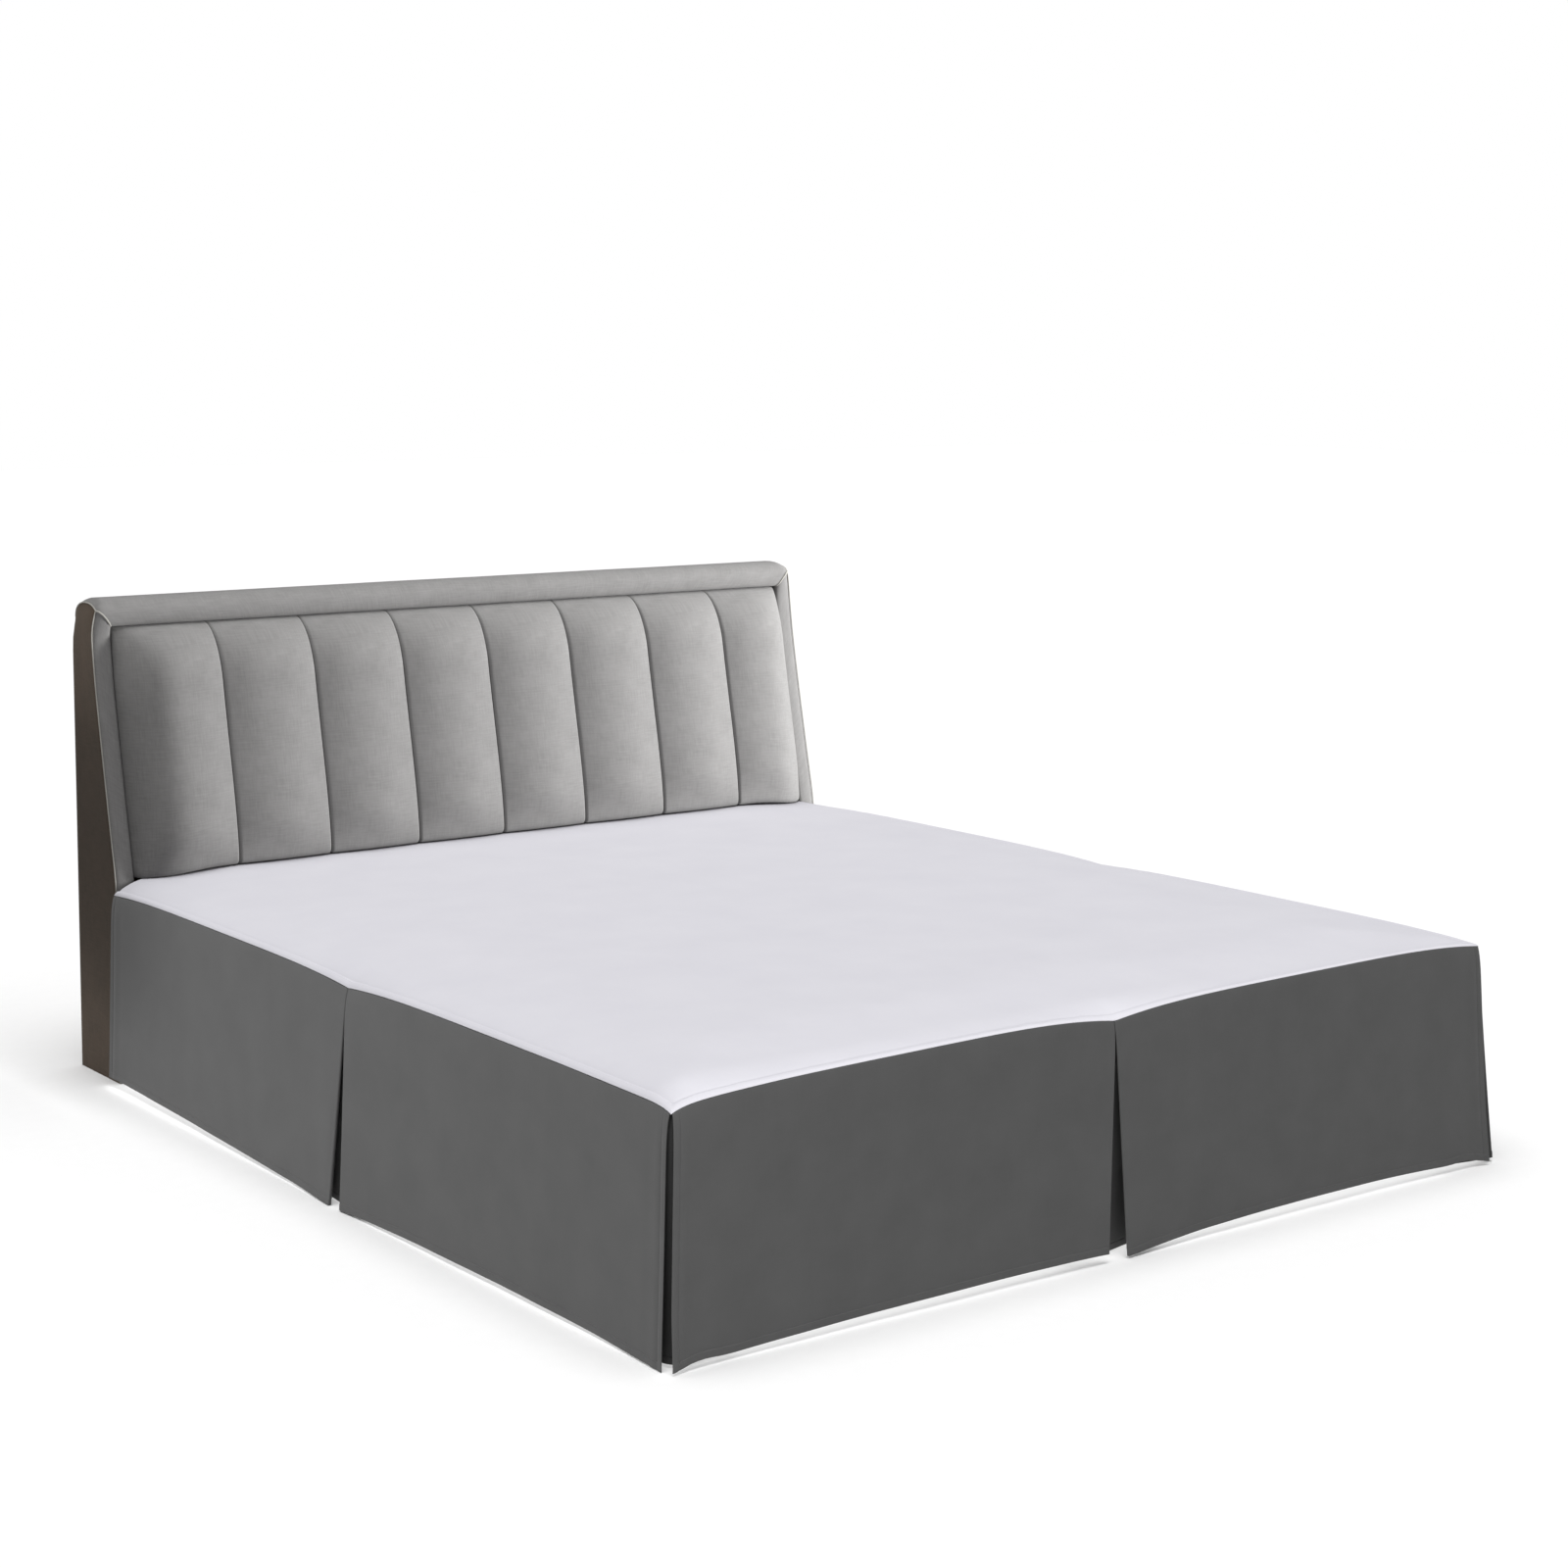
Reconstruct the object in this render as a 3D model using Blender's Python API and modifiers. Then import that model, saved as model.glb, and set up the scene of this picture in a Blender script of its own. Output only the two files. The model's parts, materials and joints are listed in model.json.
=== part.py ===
"""A bed skirt on the plain upholstered bed that it falls over.

Metres, with +Z up and +Y from the foot of the bed to its headboard. The skirt is a flat
platform sheet, three drops sewn to its edge, each with an inverted box pleat in its middle,
and an L-shaped insert behind each split foot corner. The bed is a base on six legs and a
headboard of a wedge-shaped core, a border round its front and eight channel pads.

Shapes are worked out in the bed's own frame, whose middle is the middle of the platform
sheet. All objects are parented to one empty, which puts the part's origin on the floor in
the middle of its footprint.
"""

import math
from typing import NamedTuple

import bmesh
import bpy

# Platform sheet, seam to seam
BED_WIDTH = 1.800
BED_LENGTH = 2.000
HALF_WIDTH = BED_WIDTH / 2
HALF_LENGTH = BED_LENGTH / 2
HEAD_END = 1.010             # the sheet and the long drops run on to the headboard
SHEET_TOP = 0.419            # the sheet's height where it lies flat near its edges
CROWN = 0.006                # how much the middle of the sheet stands above that
CROWN_REACH = 0.30
EDGE_ROLL = 0.070            # width of the strip that curves down to the seam

# Cloth and clearances
CLOTH = 0.0020
GAP = 0.0003                 # between pieces that touch
SEAM_DROP = 0.0015           # from the middle of the sheet's edge to the top of a drop
SHOULDER = 0.006             # how far a drop stands out just below the seam
SHOULDER_FALL = 0.012        # height over which most of that is reached
FLARE_POWER = 1.15           # the hem stands out further, in a slight curve

# How flat the middle of a stretch is: a higher power keeps its rise near the two ends
SEAM_BOW = 4
HEM_BOW = 3
OUT_BOW = 4

# Pleats and split corners: at the seam, then at the hem
PLEAT_OPENING = (0.001, 0.040)
LAYER_PITCH = (0.003, 0.009)     # from one folded layer's middle to the next
PLEAT_RETURN = 0.070             # how far the cloth folds back beside the opening
PLEAT_LIFT = 0.003               # the folded layers hang this much shorter
PLEAT_AT = 0.0                   # the middle of each side
FOLD_TURN = (90, 30, -30, -90)   # steps round a fold, in degrees
CORNER_SPLIT = 0.0025            # half of the split at the seam
CORNER_LEAN = 0.014              # the foot drop's right end hangs this much wider at its hem
INSERT_REACH = 0.110             # how far an insert runs along each side
INSERT_STOPS = (1.0, 0.6, 0.3)   # its columns there, as parts of that
INSERT_DEPTH = (0.0036, 0.0160)  # behind the drops
INSERT_RADIUS = (0.010, 0.026)   # of its bend round the corner
INSERT_TURN = (0, 22.5, 45, 67.5, 90)

# Rows down a drop, as parts of its length
ROWS = (0.0, 0.03, 0.08, 0.18, 0.38, 0.68, 1.0)

# Across half of a side, from its corner to its pleat, as parts of that half
STOPS = (0.0, 0.013, 0.03, 0.05, 0.075, 0.12, 0.2, 0.32, 0.46, 0.6, 0.74, 0.87, 0.95, 1.0)

# Base and legs
BASE_SIDE_CLEARANCE = 0.015
BASE_BOTTOM = 0.100
BASE_TOP = 0.4150
BASE_ROUND = 0.050
BASE_ROUND_STEPS = 5
LEG_RADIUS = 0.030
LEG_TAPER = 0.8              # its radius at the floor, as a part of that
LEG_SIDES = 24
LEG_INSET_X = 0.180
LEG_ROWS = {"foot": -0.850, "middle": 0.0, "head": 0.850}

# Headboard
HEADBOARD_WIDTH = 1.786
HEADBOARD_BACK = 1.215
CORE_TOP = 0.955
BORDER_WIDTH = 0.042
BORDER_THICKNESS = 0.022
BORDER_TOP = 0.9320
CHANNELS = 8
PAD_BOTTOM = 0.4245
PAD_TOP = 0.9315
PAD_SET_BACK = -0.010        # behind the border's front where the pad meets the border
PAD_FIELD = (0.043, 0.057)   # in front of it over the middle: at the foot, and higher up
PAD_FULL = 0.220             # height over which the one grows into the other
PAD_CROWN = 0.018            # more at the middle of each channel
PAD_TOP_ROUND = 0.120
PAD_END_ROUND = 0.110
PAD_CROSS_CUTS = 7
PAD_UPRIGHT_CUTS = 9
PAD_ROW_POWER = 1.6          # closer rows towards the rounded top
SOFT_EDGE = 0.006
SOFT_EDGE_STEPS = 2
SOFT_EDGE_ANGLE = 50         # edges that turn by more degrees than this are softened
SHARP_ANGLE = 40             # and shading breaks at more degrees than this

# From the middle of the sheet to the middle of the whole footprint, along the bed
FRAME_SHIFT = -0.09275


class Panel(NamedTuple):
    """One plain stretch of a drop, from a corner or the headboard to the pleat.

    It gives the heights of its seam and its hem and how far its hem stands out, each at both
    ends and in the middle.
    """

    side: str
    start: float
    end: float
    seam_start: float
    seam_middle: float
    seam_end: float
    hem_start: float
    hem_middle: float
    hem_end: float
    out_start: float
    out_middle: float
    out_end: float


PANELS = (
    Panel("left", -1.0, 0.00, 0.384, 0.398, 0.388, 0.0020, 0.009, 0.0005, 0.014, 0.015, 0.029),
    Panel("left", 0.0, 1.01, 0.388, 0.401, 0.393, 0.0005, 0.015, 0.0220, 0.029, 0.014, 0.012),
    Panel("foot", -0.9, 0.00, 0.384, 0.409, 0.396, 0.0030, 0.015, 0.0003, 0.014, 0.013, 0.024),
    Panel("foot", 0.0, 0.90, 0.396, 0.416, 0.405, 0.0003, 0.016, 0.0120, 0.024, 0.013, 0.016),
    Panel("right", -1.0, 0.00, 0.405, 0.414, 0.404, 0.0090, 0.016, 0.0005, 0.027, 0.017, 0.029),
    Panel("right", 0.0, 1.01, 0.404, 0.412, 0.400, 0.0005, 0.017, 0.0200, 0.029, 0.014, 0.012),
)


class Front(NamedTuple):
    """A point of the headboard's raked front, seen from its side."""

    height: float
    depth: float


HEADBOARD_FRONT = (
    Front(0.000, 1.016),
    Front(0.410, 1.016),
    Front(0.540, 1.045),
    Front(0.680, 1.075),
    Front(0.820, 1.103),
    Front(0.930, 1.118),
)

# The roll of cloth over the headboard's top, from its front lower edge over to the back
TOP_ROLL = (
    Front(0.9325, 1.112),
    Front(0.9450, 1.106),
    Front(0.9600, 1.105),
    Front(0.9740, 1.111),
    Front(0.9840, 1.123),
    Front(0.9895, 1.140),
    Front(0.9900, 1.165),
    Front(0.9860, 1.190),
    Front(0.9760, 1.207),
    Front(0.9640, 1.214),
    Front(0.9556, 1.215),
)

FINISHES = {
    "sheet_cloth": ((0.72, 0.72, 0.75), 0.9),
    "drop_cloth": ((0.13, 0.13, 0.13), 0.9),
    "insert_cloth": ((0.05, 0.05, 0.05), 0.9),
    "linen": ((0.36, 0.35, 0.33), 0.85),
    "base_cloth": ((0.10, 0.10, 0.10), 0.9),
    "leg_plastic": ((0.03, 0.03, 0.03), 0.5),
}


def mix(low, high, part):
    return low + (high - low) * part


def bow(part, power):
    """0 at both ends of a stretch and 1 in its middle, flatter there as power grows."""
    return 1 - abs(2 * part - 1) ** power


def rounded(part):
    """A quarter circle from 0 to 1."""
    part = min(max(part, 0), 1)
    return math.sqrt(1 - (1 - part) ** 2)


def panel_at(side, along):
    rows = [panel for panel in PANELS if panel.side == side]
    for panel in rows:
        if along <= panel.end:
            return panel
    return rows[-1]


def seam_height(side, along):
    panel = panel_at(side, along)
    part = (along - panel.start) / (panel.end - panel.start)
    rise = panel.seam_middle - (panel.seam_start + panel.seam_end) / 2
    return mix(panel.seam_start, panel.seam_end, part) + rise * bow(part, SEAM_BOW)


def hem_height(side, along):
    panel = panel_at(side, along)
    part = (along - panel.start) / (panel.end - panel.start)
    rise = panel.hem_middle - (panel.hem_start + panel.hem_end) / 2
    return mix(panel.hem_start, panel.hem_end, part) + rise * bow(part, HEM_BOW)


def hem_out(side, along):
    panel = panel_at(side, along)
    part = (along - panel.start) / (panel.end - panel.start)
    hollow = panel.out_middle - (panel.out_start + panel.out_end) / 2
    return mix(panel.out_start, panel.out_end, part) + hollow * bow(part, OUT_BOW)


def face_point(side, along, down, depth=0.0, lift=0.0, seam_at=None):
    """How far along a side, how far out of it and how high a point on its drop is."""
    top = seam_height(side, along if seam_at is None else seam_at) - SEAM_DROP
    height = mix(top, hem_height(side, along) + lift, down)
    shoulder = SHOULDER * (1 - math.exp((height - top) / SHOULDER_FALL))
    outward = shoulder + hem_out(side, along) * down**FLARE_POWER - depth
    return along, outward, height


def on_side(side, point):
    """Turns along, outward and height into the bed's own frame."""
    along, outward, height = point
    if side == "foot":
        return along, -HALF_LENGTH - outward, height
    if side == "left":
        return -HALF_WIDTH - outward, along, height
    return HALF_WIDTH + outward, along, height


def new_object(name, mesh, finish, collection, parent):
    thing = bpy.data.objects.new(name, mesh)
    collection.objects.link(thing)
    thing.parent = parent
    colour, roughness = FINISHES[finish]
    material = bpy.data.materials.new(name + "_" + finish)
    material.use_nodes = True
    shader = material.node_tree.nodes["Principled BSDF"]
    shader.inputs["Base Color"].default_value = (*colour, 1)
    shader.inputs["Roughness"].default_value = roughness
    shader.inputs["Metallic"].default_value = 0
    mesh.materials.append(material)
    return thing


def to_mesh(name, bm):
    bmesh.ops.recalc_face_normals(bm, faces=bm.faces)
    mesh = bpy.data.meshes.new(name)
    bm.to_mesh(mesh)
    bm.free()
    mesh.shade_smooth()
    mesh.set_sharp_from_angle(angle=math.radians(SHARP_ANGLE))
    return mesh


def cloth(name, grid, finish, collection, parent):
    """A sheet of cloth whose middle surface passes through a grid of points, row by row."""
    rows, columns = len(grid), len(grid[0])
    bm = bmesh.new()
    bmesh.ops.create_grid(bm, x_segments=columns - 1, y_segments=rows - 1, size=1)
    bm.verts.ensure_lookup_table()
    order = sorted(bm.verts, key=lambda vert: (round(vert.co.y, 5), round(vert.co.x, 5)))
    for vert, point in zip(order, [point for row in grid for point in row]):
        vert.co = point
    sheet = new_object(name, to_mesh(name, bm), finish, collection, parent)
    solidify = sheet.modifiers.new("thickness", "SOLIDIFY")
    solidify.thickness = CLOTH
    solidify.offset = 0
    solidify.use_even_offset = True
    return sheet


def stops(corner, pleat):
    """Positions from a corner to a pleat, closer together near both."""
    return [mix(corner, pleat, part) for part in STOPS]


def sheet_height(x, y):
    """Height of the platform sheet: flat, with edges that curve down to the seam."""
    to_side = HALF_WIDTH - abs(x)
    to_foot = HALF_LENGTH + y
    to_head = HEAD_END - y
    side_part = max(0, 1 - to_side / EDGE_ROLL) ** 2
    foot_part = max(0, 1 - to_foot / EDGE_ROLL) ** 2
    side_fall = SHEET_TOP - seam_height("left" if x < 0 else "right", y)
    foot_fall = SHEET_TOP - seam_height("foot", x)
    corner_fall = SHEET_TOP - seam_height("foot", math.copysign(HALF_WIDTH, x))
    fall = side_fall * side_part + foot_fall * foot_part - corner_fall * side_part * foot_part
    inside = min(1, min(to_side, to_foot, to_head) / CROWN_REACH)
    return SHEET_TOP - fall + CROWN * inside * inside * (3 - 2 * inside)


def platform_sheet(collection, parent):
    xs = stops(-HALF_WIDTH, PLEAT_AT) + stops(HALF_WIDTH, PLEAT_AT)[-2::-1]
    ys = stops(-HALF_LENGTH, PLEAT_AT) + stops(HEAD_END, PLEAT_AT)[-2::-1]
    grid = [[(x, y, sheet_height(x, y)) for x in xs] for y in ys]
    return cloth("platform_sheet", grid, "sheet_cloth", collection, parent)


def pleat_columns():
    """Columns of an inverted box pleat, each a function of how far down the drop it is.

    Each returns how far along from the pleat's middle and how deep behind the drop's face the
    cloth's middle surface lies. The cloth folds back at each side of the opening, turns again
    at the end of its return, and runs across behind.
    """
    turn = [math.radians(angle) for angle in FOLD_TURN]

    def front_fold(angle):
        def at(down):
            pitch = mix(*LAYER_PITCH, down)
            edge = mix(*PLEAT_OPENING, down) / 2 + CLOTH / 2 + pitch / 2
            return -edge + math.cos(angle) * pitch / 2, (1 - math.sin(angle)) * pitch / 2

        return at

    def back_fold(angle):
        def at(down):
            pitch = mix(*LAYER_PITCH, down)
            edge = mix(*PLEAT_OPENING, down) / 2 + PLEAT_RETURN
            return -edge - math.cos(angle) * pitch / 2, (3 - math.sin(angle)) * pitch / 2

        return at

    half = [front_fold(angle) for angle in turn] + [back_fold(angle) for angle in turn]

    def mirrored(column):
        def at(down):
            along, depth = column(down)
            return -along, depth

        return at

    return half + [mirrored(column) for column in reversed(half)]


def drop(side, start, end, end_lean, collection, parent):
    """A drop with an inverted box pleat in its middle.

    Its end stands end_lean further along at the hem than at the seam.
    """
    pleat = pleat_columns()
    grid = []
    for down in ROWS:
        edge = pleat[0](down)[0]
        before = stops(start, PLEAT_AT + edge)[:-1]
        after = stops(end + end_lean * down, PLEAT_AT - edge)[-2::-1]
        row = [face_point(side, along, down) for along in before]
        for column in pleat:
            along, depth = column(down)
            lift = PLEAT_LIFT * min(1, depth / LAYER_PITCH[0])
            row.append(face_point(side, PLEAT_AT + along, down, depth, lift, PLEAT_AT))
        row += [face_point(side, along, down) for along in after]
        grid.append([on_side(side, point) for point in row])
    return cloth(side + "_drop", grid, "drop_cloth", collection, parent)


def corner_insert(side, collection, parent):
    """The strip behind a split foot corner, with a soft bend at the corner."""
    outer = -1 if side == "left" else 1
    reaches = [INSERT_REACH * part for part in INSERT_STOPS]
    bends = [math.radians(angle) for angle in INSERT_TURN]
    grid = []
    for down in ROWS:
        depth = mix(*INSERT_DEPTH, down)
        radius = mix(*INSERT_RADIUS, down)
        row = []
        for reach in reaches:
            point = face_point(side, reach - HALF_LENGTH, down, depth, PLEAT_LIFT)
            row.append(on_side(side, point))
        _, side_out, _ = face_point(side, -HALF_LENGTH, down, depth)
        _, foot_out, height = face_point("foot", outer * HALF_WIDTH, down, depth, PLEAT_LIFT)
        for angle in bends:
            x = HALF_WIDTH + side_out - radius * (1 - math.cos(angle))
            y = -HALF_LENGTH - foot_out + radius * (1 - math.sin(angle))
            row.append((outer * x, y, height))
        for reach in reversed(reaches):
            along = outer * (HALF_WIDTH - reach)
            row.append(on_side("foot", face_point("foot", along, down, depth, PLEAT_LIFT)))
        grid.append(row)
    return cloth(side + "_insert", grid, "insert_cloth", collection, parent)


def base(collection, parent):
    """The padded base under the sheet, rounded over its top and upright edges."""
    bm = bmesh.new()
    bmesh.ops.create_cube(bm, size=1)
    half_x = HALF_WIDTH - BASE_SIDE_CLEARANCE
    foot_y, head_y = BASE_SIDE_CLEARANCE - HALF_LENGTH, HALF_LENGTH
    for vert in bm.verts:
        vert.co.x = math.copysign(half_x, vert.co.x)
        vert.co.y = foot_y if vert.co.y < 0 else head_y
        vert.co.z = BASE_BOTTOM if vert.co.z < 0 else BASE_TOP
    middle = (BASE_BOTTOM + BASE_TOP) / 2
    soft = [edge for edge in bm.edges if any(vert.co.z > middle for vert in edge.verts)]
    bmesh.ops.bevel(bm, geom=soft, offset=BASE_ROUND, segments=BASE_ROUND_STEPS, profile=0.5,
                    affect="EDGES")
    return new_object("base", to_mesh("base", bm), "base_cloth", collection, parent)


def legs(collection, parent):
    for row, y in LEG_ROWS.items():
        for side, sign in (("left", -1), ("right", 1)):
            height = BASE_BOTTOM - GAP
            bm = bmesh.new()
            bmesh.ops.create_cone(bm, cap_ends=True, segments=LEG_SIDES,
                                  radius1=LEG_RADIUS * LEG_TAPER, radius2=LEG_RADIUS,
                                  depth=height)
            name = "leg_" + row + "_" + side
            leg = new_object(name, to_mesh(name, bm), "leg_plastic", collection, parent)
            leg.location = (sign * (HALF_WIDTH - LEG_INSET_X), y, height / 2)


def front_depth(height):
    """How far back the headboard's front lies at a height."""
    for low, high in zip(HEADBOARD_FRONT, HEADBOARD_FRONT[1:]):
        if height <= high.height:
            part = (height - low.height) / (high.height - low.height)
            return mix(low.depth, high.depth, part)
    return HEADBOARD_FRONT[-1].depth


def extruded(name, outline, low_x, high_x, collection, parent):
    """A solid with one outline, given as depth and height, from low_x to high_x."""
    bm = bmesh.new()
    face = bm.faces.new([bm.verts.new((low_x, depth, height)) for depth, height in outline])
    swept = bmesh.ops.extrude_face_region(bm, geom=[face])
    moved = [item for item in swept["geom"] if isinstance(item, bmesh.types.BMVert)]
    bmesh.ops.translate(bm, verts=moved, vec=(high_x - low_x, 0, 0))
    thing = new_object(name, to_mesh(name, bm), "linen", collection, parent)
    soften = thing.modifiers.new("soft edges", "BEVEL")
    soften.width = SOFT_EDGE
    soften.segments = SOFT_EDGE_STEPS
    soften.limit_method = "ANGLE"
    soften.angle_limit = math.radians(SOFT_EDGE_ANGLE)
    return thing


def headboard_core(collection, parent):
    front = [(row.depth + BORDER_THICKNESS, row.height) for row in HEADBOARD_FRONT]
    outline = front + [
        (front[-1][0], CORE_TOP),
        (HEADBOARD_BACK, CORE_TOP),
        (HEADBOARD_BACK, 0),
    ]
    half = HEADBOARD_WIDTH / 2
    return extruded("headboard_core", outline, -half, half, collection, parent)


def headboard_borders(collection, parent):
    front = [(row.depth, row.height) for row in HEADBOARD_FRONT]
    back = [(depth + BORDER_THICKNESS - GAP, height) for depth, height in reversed(front)]
    outline = front + [(front[-1][0], BORDER_TOP), (back[0][0], BORDER_TOP)] + back
    half = HEADBOARD_WIDTH / 2
    inner = half - BORDER_WIDTH
    extruded("border_left", outline, -half, -inner, collection, parent)
    extruded("border_right", outline, inner, half, collection, parent)
    behind = HEADBOARD_FRONT[-1].depth + BORDER_THICKNESS - GAP
    over = [(row.depth, row.height) for row in TOP_ROLL]
    over += [(behind, CORE_TOP + GAP * 2), (behind, TOP_ROLL[0].height)]
    extruded("top_roll", over, -half, half, collection, parent)


def pad_proud(across, height, channel_part):
    """How far in front of the border the padding stands, across the headboard's own width."""
    end = HEADBOARD_WIDTH / 2 - BORDER_WIDTH - abs(across)
    top = rounded((PAD_TOP - height) / PAD_TOP_ROUND)
    ends = rounded(end / PAD_END_ROUND)
    crown = PAD_CROWN * bow(channel_part, 2) * top
    field = mix(*PAD_FIELD, rounded((height - PAD_BOTTOM) / PAD_FULL))
    return mix(PAD_SET_BACK, field, top * ends) + crown


def cut_along(bm, axis, cuts):
    """Cuts across a unit cube's edges that run along one axis."""
    edges = [edge for edge in bm.edges
             if abs(edge.verts[0].co[axis] - edge.verts[1].co[axis]) > 0.5]
    bmesh.ops.subdivide_edges(bm, edges=edges, cuts=cuts, use_grid_fill=True)


def channel_pads(collection, parent):
    field = HEADBOARD_WIDTH - 2 * BORDER_WIDTH
    width = field / CHANNELS
    for channel in range(CHANNELS):
        bm = bmesh.new()
        bmesh.ops.create_cube(bm, size=1)
        cut_along(bm, 0, PAD_CROSS_CUTS)
        cut_along(bm, 2, PAD_UPRIGHT_CUTS)
        left = channel * width - field / 2
        for vert in bm.verts:
            part = vert.co.x + 0.5
            x = mix(left + GAP, left + width - GAP, part)
            upward = 1 - (0.5 - vert.co.z) ** PAD_ROW_POWER
            z = mix(PAD_BOTTOM, PAD_TOP, upward)
            back = front_depth(z) + BORDER_THICKNESS - GAP * 2
            front = front_depth(z) - pad_proud(x, z, part)
            vert.co = (x, back if vert.co.y > 0 else front, z)
        name = "pad_" + str(channel + 1)
        new_object(name, to_mesh(name, bm), "linen", collection, parent)


def main():
    for thing in list(bpy.data.objects):
        bpy.data.objects.remove(thing)
    collection = bpy.data.collections.new("bed_skirt")
    bpy.context.scene.collection.children.link(collection)
    parent = bpy.data.objects.new("bed_middle", None)
    collection.objects.link(parent)
    parent.location = (0, FRAME_SHIFT, 0)

    platform_sheet(collection, parent)
    foot_end = CORNER_SPLIT - HALF_LENGTH
    foot_half = HALF_WIDTH - CORNER_SPLIT
    drop("left", foot_end, HEAD_END, 0, collection, parent)
    drop("right", foot_end, HEAD_END, 0, collection, parent)
    drop("foot", -foot_half, foot_half, CORNER_LEAN, collection, parent)
    corner_insert("left", collection, parent)
    corner_insert("right", collection, parent)
    base(collection, parent)
    legs(collection, parent)
    headboard_core(collection, parent)
    headboard_borders(collection, parent)
    channel_pads(collection, parent)


main()
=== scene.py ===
"""Looks of a bed skirt and of the plain upholstered bed that it falls over.

Metres, in the frame's own axes: +Z up, +Y from the foot of the bed to its headboard. Shapes are
worked out with the bed's middle at y = 0, as an upholsterer would measure them, and Mesher puts
them at the bed's place in the frame.
"""

import json
import logging
import math
from dataclasses import dataclass
from enum import Enum
from itertools import accumulate
from typing import Any, NamedTuple, Sequence

import bmesh
import bpy
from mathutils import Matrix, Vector, noise

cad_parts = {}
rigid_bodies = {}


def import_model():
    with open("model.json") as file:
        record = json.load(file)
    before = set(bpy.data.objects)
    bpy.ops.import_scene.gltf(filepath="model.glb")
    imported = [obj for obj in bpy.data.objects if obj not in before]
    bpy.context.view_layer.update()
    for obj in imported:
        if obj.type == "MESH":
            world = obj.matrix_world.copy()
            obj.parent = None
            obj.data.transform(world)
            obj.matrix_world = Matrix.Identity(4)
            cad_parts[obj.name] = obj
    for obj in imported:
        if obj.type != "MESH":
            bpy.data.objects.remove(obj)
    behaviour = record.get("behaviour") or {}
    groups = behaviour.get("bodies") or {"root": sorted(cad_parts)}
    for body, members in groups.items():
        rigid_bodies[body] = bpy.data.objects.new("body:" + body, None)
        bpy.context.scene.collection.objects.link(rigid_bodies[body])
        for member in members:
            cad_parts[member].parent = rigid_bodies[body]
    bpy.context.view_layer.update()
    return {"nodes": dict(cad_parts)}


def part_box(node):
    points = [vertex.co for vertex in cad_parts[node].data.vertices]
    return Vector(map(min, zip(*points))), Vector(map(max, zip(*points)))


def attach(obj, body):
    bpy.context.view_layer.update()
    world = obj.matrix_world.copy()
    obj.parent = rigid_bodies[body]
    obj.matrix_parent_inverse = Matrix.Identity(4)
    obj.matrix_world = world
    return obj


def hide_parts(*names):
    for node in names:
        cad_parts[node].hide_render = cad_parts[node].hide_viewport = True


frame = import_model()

Point = tuple[float, float, float]
Grid = list[list[Point]]
Pair = tuple[float, float]
Material = bpy.types.Material
Mesh = bpy.types.Mesh
Piece = bpy.types.Object
Socket = bpy.types.NodeSocket
Tree = bpy.types.NodeTree
LOG = logging.getLogger("bed_skirt")
MM = 0.001


# ---------------------------------------------------------------- small sums


def millimetres(*sizes: float) -> list[float]:
    """Turns sizes in millimetres into metres."""
    return [size * MM for size in sizes]


def mix(low: float, high: float, part: float) -> float:
    """Goes from low to high as part goes from 0 to 1."""
    return low + (high - low) * part


def ease(part: float) -> float:
    """Goes from 0 to 1 as part does, starting and ending gently."""
    part = min(max(part, 0.0), 1.0)
    return part * part * (3 - 2 * part)


def bow(part: float, power: float) -> float:
    """Is 0 at both ends of a stretch and 1 in its middle, flatter there as power grows."""
    return 1 - abs(2 * part - 1) ** power


def rounded(part: float) -> float:
    """Goes from 0 to 1 along a quarter circle."""
    part = min(max(part, 0.0), 1.0)
    return math.sqrt(1 - (1 - part) ** 2)


class Crease(NamedTuple):
    """A raised or sunken line beside an edge."""

    height: float
    place: float
    width: float

    def at(self, distance: float) -> float:
        """Gives its height at a distance from the edge: it fades a width or two from its place."""
        return self.height * math.exp(-(((distance - self.place) / self.width) ** 2))


class Ripple(NamedTuple):
    """Smooth unevenness of a height, and the size of one ripple across the cloth and down it."""

    height: float
    across: float
    down: float
    seed: float

    def at(self, across: float, down: float, kind: float = 0.0) -> float:
        """Gives the unevenness at a place. Each kind of piece has its own."""
        return self.height * noise.noise(Vector((across / self.across, down / self.down, self.seed + kind)))


def stretch(length: float, start: Sequence[float], end: Sequence[float], step: float) -> list[float]:
    """Divides a stretch finely near its ends and evenly between them.

    Args:
        length: its length in metres.
        start: distances of the fine stops from its start, from 0 up.
        end: distances of the fine stops from its end, from 0 up.
        step: about how far apart the stops between are.

    Returns:
        The stops as parts of the length, from 0 to 1.
    """
    first, last = start[-1], length - end[-1]
    count = max(1, round((last - first) / step))
    middle = [mix(first, last, index / count) for index in range(1, count)]
    stops = list(start) + middle + [length - distance for distance in reversed(end)]
    return [stop / length for stop in stops]


# ---------------------------------------------------------------- finishes


def linear(colour: str) -> tuple[float, float, float, float]:
    """Turns an sRGB colour such as "#808080" into the linear one that a shader takes.

    Args:
        colour: the sRGB colour.

    Returns:
        Its linear red, green and blue, and 1.
    """
    parts = [int(colour[at : at + 2], 16) / 255 for at in (1, 3, 5)]
    parts = [part / 12.92 if part <= 0.04045 else ((part + 0.055) / 1.055) ** 2.4 for part in parts]
    return (*parts, 1.0)


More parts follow.
